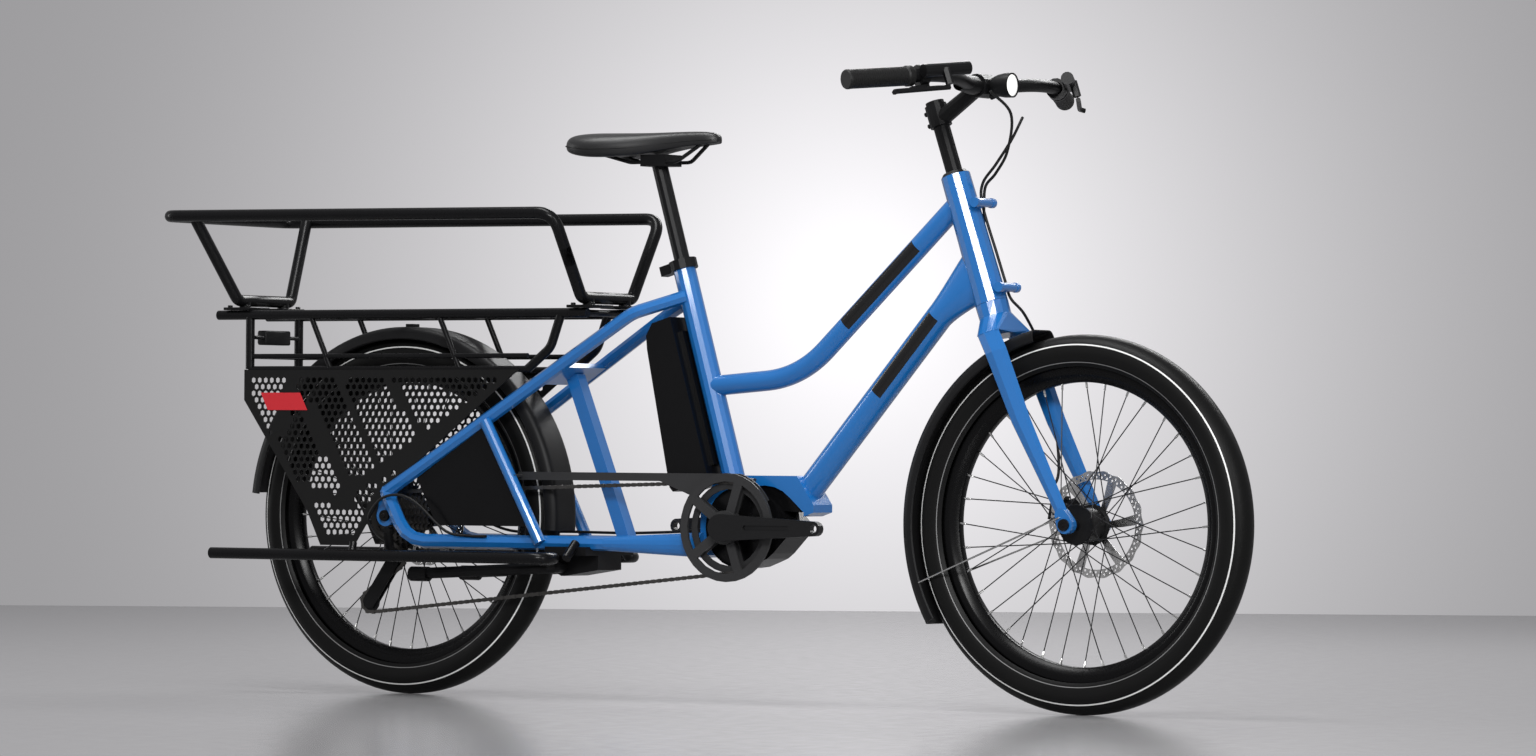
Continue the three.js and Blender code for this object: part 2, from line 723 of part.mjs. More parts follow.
// The cross plate between the stays, the square brace under it and the tie between the chainstays.
function braceShell(extra) {
  const top = fromRear(brace.topForward, 0, brace.topRise);
  const low = bracketHeight + chainstay.rise - wheelRadius;
  const foot = fromRear(brace.footForward, 0, low);
  const half = brace.side / 2 + extra;
  const square = (centre) =>
    [
      [-half, -half],
      [half, -half],
      [half, half],
      [-half, half],
    ].map(([x, y]) => centre.clone().add(point(x, y, 0)));
  const bridge = block(
    point(-brace.plateLength / 2 - extra, -brace.plateHalf, -brace.plateThickness / 2 - extra),
    point(brace.plateLength / 2 + extra, brace.plateHalf, brace.plateThickness / 2 + extra),
  );
  bridge.rotateY(-stayLean()).translate(top.x, 0, top.z);
  const tie = rod(
    foot.clone().setY(-stay.rearSide),
    foot.clone().setY(stay.rearSide),
    brace.tieRadius + extra,
  );
  return join(hull(square(foot), square(top)), bridge, tie);
}
const stayLean = () =>
  Math.atan2(
    bracketHeight + stay.kinkRise - wheelRadius - yoke.rise,
    rearCentre - stay.kinkBack - yoke.forward,
  );

function makeBrace() {
  const tools = Object.values(sides).map((s) => triangleShell(s, clearance));
  part("mid_brace", "bluePaint", largest(cut(braceShell(0), ...tools)));
}

// Drive

function makeMotor() {
  const side = motor.half + overrun;
  const boreRadius = (crank.spindle + clearance) / Math.cos(Math.PI / discSides);
  const bore = rod(bracket.clone().setY(-side), bracket.clone().setY(side), boreRadius, discSides);
  const arch = archCorners(0).filter(([, height]) => height >= bracketHeight + cradle.tipRise);
  const shoulder = plate(wrap(arch), -motor.shoulderHalf, motor.shoulderHalf);
  part("motor", "blackPlastic", cut(join(plate(motorOutline, -motor.half, motor.half), shoulder), bore));
}

// Moves a piece drawn upright over the origin so that it follows the seat tube.
function placeOnSeat(geometry, along) {
  geometry.translate(0, 0, along);
  geometry.rotateY(-radians(90 - seatAngle));
  return geometry.translate(bracket.x, 0, bracket.z);
}

function makeBattery() {
  const half = battery.depth / 2;
  const face = seatTube.radius + battery.rail;
  const outlineShares = [
    [0, 0],
    [0, 1],
    [0.58, 1],
    [0.84, 0.94],
    [0.91, 0.86],
    [1.21, 0.03],
    [1.14, 0],
  ];
  const outline = outlineShares.map(([back, along]) => [-face - back * battery.width, along * batteryLength]);
  const railHalf = half * battery.railShare;
  const rail = block(
    point(-face - overrun, -railHalf, battery.corner),
    point(-seatTube.radius - clearance, railHalf, batteryLength - battery.corner),
  );
  const whole = placeOnSeat(join(plate(outline, -half, half), rail), battery.along);
  part("battery", "blackPlastic", whole);
}

// A fixed plate behind the ring that covers the upper chain run.
function makeChainGuard() {
  const [x, z] = [rearCentre, bracketHeight];
  const arc = (radius, from, to) =>
    Array.from({ length: guard.steps + 1 }, (_, i) => {
      const angle = radians(from + ((to - from) * i) / guard.steps);
      return [x + radius * Math.cos(angle), z + radius * Math.sin(angle)];
    });
  const top = z + guard.tailTop;
  const outline = [
    ...arc(guard.radius + guard.band, 90, 90 - guard.sweep).map(([a, b]) => [a, Math.min(b, top)]),
    ...arc(guard.radius, 90 - guard.sweep, 90 + guard.backSweep),
    ...arc(
      guard.radius + guard.band,
      90 + guard.backSweep,
      90 + guard.backSweep - guard.wedgeSweep,
    ).slice(0, 1),
    [x - guard.wedgeBack, top - guard.tailHeight],
    [x - guard.tailBack, top - guard.tailHeight],
    [x - guard.tailBack, top],
  ];
  const shield = plate(outline, -guard.side - guard.thickness, -guard.side);
  const reach = point(
    Math.cos(radians(guard.boltAngle)),
    0,
    Math.sin(radians(guard.boltAngle)),
  ).multiplyScalar(guard.boltReach);
  const spot = bracket.clone().add(reach);
  const front = rod(
    spot.clone().setY(-guard.side - guard.thickness),
    spot.clone().setY(-cradle.half - clearance),
    guard.boltRadius,
    thinSides,
  );
  const tail = point(x - guard.tailBack + guard.tailHeight / 2, -guard.side, top - guard.tailHeight / 2);
  const back = rod(tail, tail.clone().setY(-stay.rearSide), guard.boltRadius, thinSides);
  part(
    "chain_guard",
    "greyPlastic",
    largest(cut(join(shield, front, back), triangleShell(sides.right, clearance))),
  );
}

const crankSpinner = new THREE.Group();
crankSpinner.name = "cranks";
crankSpinner.position.copy(bracket);
bike.add(crankSpinner);

function crankArm(s) {
  const inner = s * crank.innerSide;
  const outer = s * (crank.innerSide + crank.thickness);
  const [from, to] = inner < outer ? [inner, outer] : [outer, inner];
  const reach = -s * crank.length;
  const outline = wrap([...round(0, 0, crank.hubRadius), ...round(reach, 0, crank.eyeRadius, roundSides)]);
  const eye = round(reach, 0, crank.eyeHole, roundSides);
  const arm = plate(outline, from, to, [eye]);
  const slotOutline = wrap([
    ...round(reach * crank.slotFromShare, 0, crank.slotHalf, thinSides),
    ...round(reach * crank.slotToShare, 0, crank.slotHalf, thinSides),
  ]);
  const slot = plate(slotOutline, outer - crank.slotDepth, outer + crank.slotDepth);
  return cut(arm, slot);
}

function makeCranks() {
  const inner = crank.innerSide;
  const shaft = rod(point(0, -inner + clearance, 0), point(0, inner + overrun, 0), crank.spindle, discSides);
  part("crank_left", "blackMetal", join(crankArm(sides.left), shaft), crankSpinner);
  part("crank_right", "blackMetal", crankArm(sides.right), crankSpinner);
}

// The spoked ring with the toothed ring behind it.
function makeChainring() {
  const hub = ring.hubRadius;
  const window = (i, edge) => {
    const pitch = 360 / ring.spokes;
    const corner = (radius, share) => {
      const half = pitch / 2 - THREE.MathUtils.radToDeg(ring.spokeWidth / 2 / radius);
      const angle = radians(pitch * (i + ring.spokeTurnShare) + half * share);
      return [radius * Math.cos(angle), radius * Math.sin(angle)];
    };
    return [corner(hub, -1), ...[-1, -0.5, 0, 0.5, 1].map((share) => corner(edge, share)), corner(hub, 1)];
  };
  const windows = (edge) => Array.from({ length: ring.spokes }, (_, i) => window(i, edge));
  const bore = round(0, 0, crank.spindle + clearance);
  const face = -ring.side;
  const sprocket = -ring.sprocketSide - ring.sprocketThickness / 2;
  const cover = plate(round(0, 0, ring.radius, ringSides), face - ring.thickness, face, [
    ...windows(ring.radius - ring.rim),
    bore,
  ]);
  const blank = round(0, 0, ring.sprocketRadius, ringSides);
  const toothed = plate(blank, sprocket, sprocket + ring.sprocketThickness, [
    ...windows(ring.sprocketRadius - ring.sprocketRim),
    bore,
  ]);
  const link = plate(round(0, 0, hub), -crank.innerSide + clearance, sprocket + clearance, [bore]);
  part("chainring", "blackMetal", join(cover, toothed, link), crankSpinner);
}

// Wheels

// Pieces of a wheel lie round their own Y axis; the group puts them on the axle.
function wheelGroup(name, parent) {
  const group = new THREE.Group();
  group.name = name;
  parent.add(group);
  return group;
}

function makeTyre(name, group) {
  const half = tyre.width / 2;
  const profileShares = [
    [0, -0.4],
    [0.25, -0.9],
    [0.5, -1],
    [0.86, -0.66],
    [1, 0],
  ];
  const bead = rimRadius + clearance;
  const spot = ([rise, side]) => [bead + rise * (wheelRadius - bead), side * half];
  const mirror = ([rise, side]) => [rise, -side];
  const profile = [...profileShares.map(spot), ...profileShares.slice(0, -1).reverse().map(mirror).map(spot)];
  part(name, "rubber", turned([...profile, profile[0]], wheelSides), group);
}

// The spokes run from just clear of the hub's flanges into the rim.
function spokesOf(hub) {
  return Array.from({ length: spoke.count }, (_, i) => {
    const s = i % 2 ? 1 : -1;
    const lean = Math.floor(i / 2) % 2 ? 1 : -1;
    const rimAngle = (2 * Math.PI * i) / spoke.count;
    const hubAngle = rimAngle + lean * radians(spoke.cross);
    const start = hub.flangeRadius + clearance + spoke.radius;
    const outward = lean * spoke.stagger;
    const from = point(start * Math.cos(hubAngle), s * hub.flangeSide + outward, start * Math.sin(hubAngle));
    const reach = rimRadius - rim.edge + overrun;
    const side = (s * rim.innerHalf) / 2 + outward;
    const to = point(reach * Math.cos(rimAngle), side, reach * Math.sin(rimAngle));
    return rod(from, to, spoke.radius, spoke.sides);
  });
}

function makeRim(name, hub, group) {
  const half = rim.width / 2;
  const bed = rimRadius - rim.bedDepth;
  const inner = rimRadius - rim.edge;
  const profile = [
    [inner, -rim.innerHalf],
    [inner, rim.innerHalf],
    [bed, half],
    [rimRadius, half],
    [rimRadius, -half],
    [bed, -half],
    [inner, -rim.innerHalf],
  ];
  part(name, "blackMetal", join(turned(profile, wheelSides), ...spokesOf(hub)), group);
}

function makeHub(name, hub, group) {
  const f = hub.flangeSide;
  const t = hub.flangeThickness;
  const end = hub.outer + hub.nutHeight;
  const seat = hub.rotorSide - clearance;
  const body = turned(
    [
      [0, -end],
      [hub.nutRadius, -end],
      [hub.nutRadius, -hub.outer],
      [hub.axleRadius, -hub.outer],
      [hub.axleRadius, -hub.half],
      [hub.rightRadius, -hub.half],
      [hub.rightRadius, -f - t - hub.shoulder],
      [hub.flangeRadius, -f - t],
      [hub.flangeRadius, -f + t],
      [hub.bodyRadius, -f + t + hub.shoulder],
      [hub.bodyRadius, f - t - hub.shoulder],
      [hub.flangeRadius, f - t],
      [hub.flangeRadius, f + t],
      [hub.seatRadius, f + t + hub.shoulder],
      [hub.seatRadius, seat],
      [hub.endRadius, seat],
      [hub.endRadius, hub.half],
      [hub.axleRadius, hub.half],
      [hub.axleRadius, hub.outer],
      [hub.nutRadius, hub.outer],
      [hub.nutRadius, end],
      [0, end],
    ],
    hubSides,
  );
  part(name, "steel", body, group);
}

function makeRotor(name, hub, group) {
  const inner = rotor.radius - rotor.band;
  const window = (i) => {
    const turn = (share) => (2 * Math.PI * (i + share)) / rotor.arms;
    const spot = (radius, share) => [radius * Math.cos(turn(share)), radius * Math.sin(turn(share))];
    const swirl = rotor.swirlShare;
    return [
      spot(rotor.hubRadius, rotor.footShares[0]),
      ...rotor.windowShares.map((share) => spot(inner, share + swirl)),
      spot(rotor.hubRadius, rotor.footShares[1]),
    ];
  };
  const windows = Array.from({ length: rotor.arms }, (_, i) => window(i));
  const bore = round(0, 0, (hub.endRadius + clearance) / Math.cos(Math.PI / hubSides), hubSides);
  const from = hub.rotorSide;
  part(
    name,
    "steel",
    plate(round(0, 0, rotor.radius, wheelSides), from, from + rotor.thickness, [...windows, bore]),
    group,
  );
}

const rearWheel = wheelGroup("rear_wheel", bike);
rearWheel.position.copy(rearAxle);

function makeRearWheel() {
  makeTyre("rear_tyre", rearWheel);
  makeRim("rear_rim", rearHub, rearWheel);
  makeHub("rear_hub", rearHub, rearWheel);
  makeRotor("rear_rotor", rearHub, rearWheel);
}

function makeCassette() {
  const group = wheelGroup("cassette_spinner", bike);
  group.position.copy(rearAxle);
  const pitch = cassette.width / cassette.cogs;
  const bore = cassette.boreRadius / Math.cos(Math.PI / hubSides);
  const profile = [[bore, -cassette.innerSide]];
  for (let i = 0; i < cassette.cogs; i++) {
    const radius = THREE.MathUtils.lerp(cassette.largeRadius, cassette.smallRadius, i / (cassette.cogs - 1));
    const from = -cassette.innerSide - i * pitch;
    const valley = cassette.smallRadius * cassette.valleyShare;
    profile.push([radius, from], [radius, from - pitch / 2]);
    if (i < cassette.cogs - 1) profile.push([valley, from - pitch / 2], [valley, from - pitch]);
    else profile.push([bore, from - pitch / 2]);
  }
  part("cassette", "steel", turned([...profile, profile[0]], hubSides), group);
}

// The chain as one rigid loop: over the toothed ring, a middle sprocket and the two small wheels of the cage.
function makeChain() {
  const half = chain.height / 2;
  const [outer, innerOffset] = [half, -half];
  const wheels = chainWheels();
  const loop = (offset) => beltOutline(wheels, offset);
  const s = -ring.sprocketSide;
  part("chain", "steel", plate(loop(outer), s - chain.width / 2, s + chain.width / 2, [loop(innerOffset)]));
}
const chainCogShare = cassette.chainCog / (cassette.cogs - 1);
const middleCog = THREE.MathUtils.lerp(cassette.largeRadius, cassette.smallRadius, chainCogShare);
// The wheels that the chain runs round, in running order, with the side on which it passes.
const bowed = (radius) => (radius + clearance) / Math.cos(radians(chain.stepAngle / 2)) + chain.height / 2;
const chainWheels = () => [
  { x: rearCentre, z: bracketHeight, r: bowed(ring.sprocketRadius), turn: 1 },
  { x: 0, z: wheelRadius, r: bowed(middleCog), turn: 1 },
  { x: cage.upper[0], z: cage.upper[1], r: bowed(cage.wheelRadius), turn: -1 },
  { x: cage.lower[0], z: cage.lower[1], r: bowed(cage.wheelRadius), turn: 1 },
];
// The outline of a belt round the wheels, moved outwards by an offset.
function beltOutline(wheels, offset) {
  const tangents = wheels.map((a, i) => {
    const b = wheels[(i + 1) % wheels.length];
    const [ra, rb] = [a.turn * (a.r + a.turn * offset), b.turn * (b.r + b.turn * offset)];
    const [dx, dz] = [b.x - a.x, b.z - a.z];
    const distance = Math.hypot(dx, dz);
    const angle = Math.atan2(dz, dx) - Math.PI / 2 + Math.asin((ra - rb) / distance) * 1;
    return { angle, ra, rb };
  });
  const outline = [];
  wheels.forEach((wheel, i) => {
    const entering = tangents[(i + wheels.length - 1) % wheels.length].angle;
    const leaving = tangents[i].angle;
    const radius = tangents[i].ra;
    let sweep = leaving - entering;
    while (wheel.turn * sweep < 0) sweep += wheel.turn * 2 * Math.PI;
    while (wheel.turn * sweep > 2 * Math.PI) sweep -= wheel.turn * 2 * Math.PI;
    const steps = Math.max(2, Math.ceil(Math.abs(sweep) / radians(chain.stepAngle)));
    for (let k = 0; k <= steps; k++) {
      const angle = entering + (sweep * k) / steps;
      outline.push([wheel.x + radius * Math.cos(angle), wheel.z + radius * Math.sin(angle)]);
    }
  });
  return outline;
}
// Steering, drawn in a frame that stands on the lower race: X ahead, Z up along the steering axis.

const steering = new THREE.Group();
steering.name = "steering";
steering.position.copy(race);
steering.rotation.y = -radians(90 - headAngle);
bike.add(steering);

const foot = point(forkRake, 0, -forkLength);

function forkLeg(s, extra = 0) {
  const flat = (centre, length, width) =>
    oval(centre, point(length + extra, 0, 0), point(0, width + extra, 0), legSides);
  return loft([
    flat(point(leg.footAhead, s * leg.side, leg.footRise - forkLength), leg.footLength, leg.footWidth),
    flat(point(leg.midAhead, s * leg.side, -leg.midDrop), leg.midLength, leg.midWidth),
    flat(point(leg.topAhead, s * leg.side, -leg.topDrop), leg.topLength, leg.topWidth),
    flat(point(leg.rootAhead, s * leg.rootSide, -leg.rootDrop), leg.topLength, leg.topWidth),
  ]);
}

function forkFoot(s, extra) {
  const disc = wrap([
    ...round(foot.x, foot.z, leg.eyeRadius + extra, roundSides),
    ...round(leg.footAhead, foot.z + leg.footRise, leg.footLength + extra, roundSides),
  ]);
  const inner = leg.footInner - extra;
  const outer = leg.footOuter + extra;
  return plate(disc, s > 0 ? inner : -outer, s > 0 ? outer : -inner);
}

function makeFork() {
  const flat = (drop, length, width, ahead = 0) => oval(
    point(ahead, 0, -drop),
    point(length, 0, 0),
    point(0, width, 0),
  );
  const neck = hull(
    flat(runningGap, headTube.footRadius, headTube.footRadius),
    flat(crown.neckDrop, crown.neckLength, crown.neckWidth),
  );
  const shoulders = hull(
    flat(crown.neckDrop, crown.neckLength, crown.neckWidth),
    ...Object.values(sides).map((s) =>
      oval(
        point(leg.rootAhead, s * leg.rootSide, -leg.rootDrop),
        point(leg.topLength, 0, 0),
        point(0, leg.topWidth, 0),
      ),
    ),
    flat(crown.drop, crown.footLength, crown.neckWidth, leg.rootAhead),
  );
  const legs = Object.values(sides).map((s) => forkLeg(s));
  const feet = Object.values(sides).map((s) => forkFoot(s, 0));
  const tube = rod(point(0, 0, -crown.neckDrop), point(0, 0, headLength - steerer.joint), steerer.radius);
  const whole = join(neck, shoulders, tube, ...legs, ...feet);
  const reach = leg.footOuter + overrun;
  const axle = rod(foot.clone().setY(-reach), foot.clone().setY(reach), frontHub.axleRadius + clearance);
  part("fork", "bluePaint", cut(whole, axle), steering);
}

const clampCentre = point(stem.reach, 0, stem.clampUp);

function makeStem() {
  const bolts = stem.boltUps.flatMap((boltUp) => [
    rod(point(-stem.radius - stem.boltReach, 0, boltUp), point(0, 0, boltUp), stem.boltRadius, thinSides),
  ]);
  const side = (centre, width, height) => oval(centre, point(0, width, 0), point(0, 0, height), roundSides);
  const arm = hull(
    side(point(stem.radius / 2, 0, stem.armUp), stem.armWidth, stem.armHeight),
    side(clampCentre.clone().add(point(-stem.clampRadius / 2, 0, 0)), stem.armWidth, stem.armEndHeight),
  );
  const clamp = rod(
    clampCentre.clone().setY(-stem.clampHalf),
    clampCentre.clone().setY(stem.clampHalf),
    stem.clampRadius,
  );
  const bore = rod(
    clampCentre.clone().setY(-bar.bulgeHalf),
    clampCentre.clone().setY(bar.bulgeHalf),
    bar.bulge + clearance,
  );
  const whole = join(
    rod(point(0, 0, headLength - steerer.joint + clearance), point(0, 0, stem.top), steerer.radius),
    rod(point(0, 0, stem.top - stem.height), point(0, 0, stem.top), stem.radius),
    rod(point(0, 0, stem.top), point(0, 0, stem.top + stem.cap), stem.capRadius),
    arm,
    clamp,
    ...bolts,
  );
  part("stem", "blackMetal", cut(whole, bore), steering);
}

const barCorner = (ahead, side, rise) => clampCentre.clone().add(point(ahead, side, rise));
const barHalf = (s) => [
  barCorner(0, s * bar.bulgeHalf, 0),
  barCorner(bar.sweepForward, s * bar.sweepSide, 0),
  barCorner(bar.gripForward, s * bar.gripSide, 0),
  barCorner(-bar.endBack, s * bar.endSide, bar.endRise),
];

function makeHandlebar() {
  const path = rounded([...barHalf(sides.right).reverse(), ...barHalf(sides.left)], bar.bendRadius);
  const middle = rod(barCorner(0, -bar.bulgeHalf, 0), barCorner(0, bar.bulgeHalf, 0), bar.bulge);
  part("handlebar", "blackMetal", join(tube(path, bar.radius, thinSides * 1.5), middle), steering);
}

function makeGrip(name, s) {
  const [inner, end] = barHalf(s).slice(2);
  const way = end.clone().sub(inner).normalize();
  const mouth = end.clone().addScaledVector(way, -grip.length);
  const profile = [
    [bar.radius + clearance, 0],
    [grip.collarRadius, 0],
    [grip.collarRadius, grip.collar],
    [grip.radius, grip.collar],
    [grip.radius, grip.length],
    [grip.radius - grip.endWall / 2, grip.length + grip.endWall],
    [0, grip.length + grip.endWall],
    [0, grip.length + clearance],
    [bar.radius + clearance, grip.length + clearance],
    [bar.radius + clearance, 0],
  ];
  part(name, "rubber", aim(turned(profile), mouth, way), steering);
}

// Places round the grip: along the bar from its inner end, ahead of it and above it.
function nearGrip(s, along, ahead, rise) {
  const [inner, end] = barHalf(s).slice(2);
  const way = end.clone().sub(inner).normalize();
  const front = point(-way.y * s, way.x * s, 0).normalize().multiplyScalar(-1);
  if (front.x < 0) front.negate();
  return inner.clone().addScaledVector(way, along).addScaledVector(front, ahead).add(point(0, 0, rise));
}

function makeBrakeMount(name, s) {
  const at = (along, ahead, rise) => nearGrip(s, along, ahead, rise);
  const way = at(1, 0, 0).sub(at(0, 0, 0));
  const ringProfile = [
    [bar.radius + clearance, 0],
    [lever.clampRadius, 0],
    [lever.clampRadius, lever.clampWidth],
    [bar.radius + clearance, lever.clampWidth],
    [bar.radius + clearance, 0],
  ];
  const collar = aim(turned(ringProfile), at(lever.clampAlong, 0, 0), way);
  const reservoir = rod(
    at(-lever.bodyBack, lever.bodyAhead, 0),
    at(lever.bodyFront, lever.bodyAhead - overrun, 0),
    lever.bodyRadius,
    roundSides,
  );
  const middle = lever.clampAlong + lever.clampWidth / 2;
  const neck = rod(
    at(middle, lever.clampRadius - overrun, 0),
    at(middle, lever.bodyAhead, 0),
    lever.neckRadius,
    thinSides,
  );
  const knuckle = rod(
    at(-lever.knuckleBack, lever.bodyAhead + lever.knuckleAhead, 0),
    at(-lever.knuckleBack, lever.bodyAhead + lever.knuckleAhead, -lever.knuckleDrop),
    lever.knuckleRadius,
    thinSides,
  );
  part(name, "blackPlastic", join(collar, reservoir, neck, knuckle), steering);
}

function makeLever(name, s) {
  const at = (along, ahead, rise) => nearGrip(s, along, ahead, rise);
  const drop = -lever.knuckleDrop - lever.bladeRadius - runningGap;
  const ahead = lever.bodyAhead + lever.knuckleAhead;
  const path = rounded(
    [
      at(-lever.start, ahead, drop),
      at(lever.bendAlong, ahead - lever.bendBack, drop),
      at(lever.bladeLength, ahead - lever.tipBack, drop),
      at(lever.bladeLength + lever.hook / 2, ahead - lever.tipBack + lever.hook, drop - lever.hook / 2),
    ],
    lever.bendRadius,
    2,
  );
  part(name, "blackMetal", tube(path, lever.bladeRadius, thinSides), steering);
}

function makeShifterLever() {
  const at = (along, ahead, rise) => nearGrip(sides.right, along, ahead, rise);
  const drop = -lever.clampRadius - runningGap;
  const pivot = at(lever.clampAlong + lever.clampWidth / 2, 0, drop);
  const disc = round(0, 0, shifter.radius, roundSides);
  const outline = wrap([...disc, ...round(shifter.reach, 0, shifter.tipRadius, thinSides)]);
  const paddle = plate(outline, 0, shifter.thickness);
  paddle.rotateX(-Math.PI / 2);
  paddle.rotateZ(radians(shifter.turn));
  paddle.translate(pivot.x, pivot.y, pivot.z);
  part("shifter_lever", "blackPlastic", paddle, steering);
}

function makeHeadlight() {
  const nose = clampCentre.clone().add(point(headlight.forward, 0, -headlight.drop));
  const tilt = point(Math.sin(radians(headAngle)), 0, -Math.cos(radians(headAngle)));
  const profile = [
    [0, 0],
    [headlight.rearRadius, 0],
    [headlight.radius, headlight.length * headlight.shoulderShare],
    [headlight.radius, headlight.length],
    [0, headlight.length],
  ];
  const start = nose.clone().addScaledVector(tilt, -headlight.length);
  const body = aim(turned(profile), start, tilt);
  const under = clampCentre.clone().add(
    point(stem.clampRadius / 2, 0, -stem.clampRadius - clearance - headlight.armRadius),
  );
  const arm = rod(
    under,
    start.clone().addScaledVector(tilt, headlight.rearRadius),
    headlight.armRadius,
    thinSides,
  );
  const grown = rod(
    clampCentre.clone().setY(-stem.clampHalf - overrun),
    clampCentre.clone().setY(stem.clampHalf + overrun),
    stem.clampRadius + clearance,
  );
  part("headlight", "blackPlastic", cut(join(body, arm), grown), steering);
}

// A curved strip with turned-down edges that follows the tyre between two angles round the axle.
function mudguardShell(fromDegrees, toDegrees) {
  const steps = Math.round((toDegrees - fromDegrees) / mudguard.step);
  const [half, t, deep] = [mudguard.half, mudguard.thickness, mudguard.depth];
  const crown = mudguardRadius;
  const section = [
    [crown - deep, -half],
    [crown - deep / 2, -half],
    [crown, -half * mudguard.flatShare],
    [crown, half * mudguard.flatShare],
    [crown - deep / 2, half],
    [crown - deep, half],
    [crown - deep, half - t],
    [crown - deep / 2 - t / 2, half - t],
    [crown - t, half * mudguard.flatShare - t / 2],
    [crown - t, t / 2 - half * mudguard.flatShare],
    [crown - deep / 2 - t / 2, t - half],
    [crown - deep, t - half],
  ];
  const rings = Array.from({ length: steps + 1 }, (_, i) => {
    const angle = radians(fromDegrees + ((toDegrees - fromDegrees) * i) / steps);
    return section.map(([radius, side]) => point(radius * Math.cos(angle), side, radius * Math.sin(angle)));
  });
  return loft(rings);
}

function makeFrontMudguard() {
  const lean = 90 - headAngle;
  const shell = mudguardShell(frontGuardFrom, frontGuardTo);
  shell.rotateY(radians(lean)).translate(foot.x, 0, foot.z);
  const stays = Object.values(sides).map((s) =>
    rod(
      place(mudguardRadius - mudguard.depth, guardStay.angle, s * (mudguard.half - mudguard.thickness / 2)),
      point(
        foot.x - leg.eyeRadius * guardStay.reachShare,
        s * (leg.footOuter + guardStay.radius + runningGap),
        foot.z + guardStay.rise,
      ),
      guardStay.radius,
      guardStay.sides,
    ),
  );
  const tab = block(
    point(-guardStay.tab, -guardStay.tab, -crown.drop - guardStay.tab * 2),
    point(guardStay.tab, guardStay.tab, -crown.drop - clearance),
  );
  part("front_mudguard", "blackPlastic", join(shell, tab, ...stays), steering);
  function place(radius, degrees, side) {
    const angle = radians(degrees - lean);
    return foot.clone().add(point(radius * Math.cos(angle), side, radius * Math.sin(angle)));
  }
}

const frontWheel = wheelGroup("front_wheel", steering);
frontWheel.position.copy(foot);
frontWheel.rotation.y = radians(90 - headAngle);

function makeFrontWheel() {
  makeTyre("front_tyre", frontWheel);
  makeRim("front_rim", frontHub, frontWheel);
  makeHub("front_hub", frontHub, frontWheel);
  makeRotor("front_rotor", frontHub, frontWheel);
}

// Brake calipers, seat, rack, guards and other fittings

// A block that straddles the brake disc, with an arm towards its carrier that the carrier's shape cuts off.
function caliperBody(centre, side, reach) {
  const low = point(-caliper.length / 2, side - caliper.width / 2, -caliper.height / 2);
  const high = point(caliper.length / 2, side + caliper.width / 2, caliper.height / 2);
  const body = block(low, high);
  body.rotateY(-radians(caliper.tilt)).translate(centre.x, 0, centre.z);
  const arm = rod(point(centre.x, side + caliper.width / 4, centre.z), reach, caliper.armRadius, thinSides);
  const gap = plate(
    round(0, 0, rotor.radius * 2, thinSides),
    side - rotor.thickness / 2 - runningGap,
    side + rotor.thickness / 2 + runningGap,
  );
  return cut(join(body, arm), gap.translate(centre.x, 0, centre.z));
}

function makeCalipers() {
  const discSide = (hub) => hub.rotorSide + rotor.thickness / 2;
  const around = (centre, degrees) =>
    centre.clone().add(
      point(
        Math.cos(radians(degrees)),
        0,
        Math.sin(radians(degrees)),
      ).multiplyScalar(rotor.radius - caliper.inset),
    );
  const front = around(foot, caliper.frontAngle);
  const legReach = point(leg.footAhead, leg.side, front.z);
  const grown = [forkLeg(sides.left, clearance), forkFoot(sides.left, clearance)];
  const frontBody = cut(caliperBody(front, discSide(frontHub), legReach), ...grown);
  part("front_caliper", "blackMetal", largest(frontBody), steering);
  const rear = around(rearAxle, caliper.rearAngle);
  const rearBody = caliperBody(rear, discSide(rearHub), fromRear(yoke.forward, stay.rearSide, yoke.rise));
  part("rear_caliper", "blackMetal", largest(cut(rearBody, triangleShell(sides.left, clearance))));
}

function makeSeatClamp() {
  const [inner, outer] = [seatTube.radius + clearance, seatTube.radius + seatClamp.wall];
  const band = turned([
    [inner, 0],
    [outer, 0],
    [outer, seatClamp.height],
    [inner, seatClamp.height],
    [inner, 0],
  ]);
  const collar = aim(band, onSeat(seatTubeLength - seatClamp.seat), seatWay);
  const half = seatClamp.earWidth / 2;
  const ears = block(
    point(-outer - seatClamp.earLength, -half, 0),
    point(-inner - clearance, half, seatClamp.height),
  );
  placeOnSeat(ears, seatTubeLength - seatClamp.seat);
  part("seat_clamp", "blackMetal", join(collar, ears));
}

const seatGroup = new THREE.Group();
seatGroup.name = "seat";
bike.add(seatGroup);
const postTop = seatTubeLength + seatpost.above;

function makeSeatpost() {
  const post = rod(onSeat(postTop - seatpost.length), onSeat(postTop), seatpost.radius);
  part("seatpost", "blackMetal", post, seatGroup);
}

// The corners of one saddle rail, from its rear end to its front end.
function railCorners(s) {
  const head = onSeat(postTop + clearance);
  const lowZ = head.z + seatpost.headHeight / 2;
  const { half, drop } = saddleRail;
  return [
    point(head.x - saddleRail.rearReach, s * half * saddleRail.rearShare, lowZ + drop / 2),
    point(head.x - saddleRail.flatHalf, s * half, lowZ),
    point(head.x + saddleRail.flatHalf, s * half, lowZ),
    point(head.x + saddleRail.frontReach, s * half * saddleRail.noseShare, lowZ + drop),
  ];
}

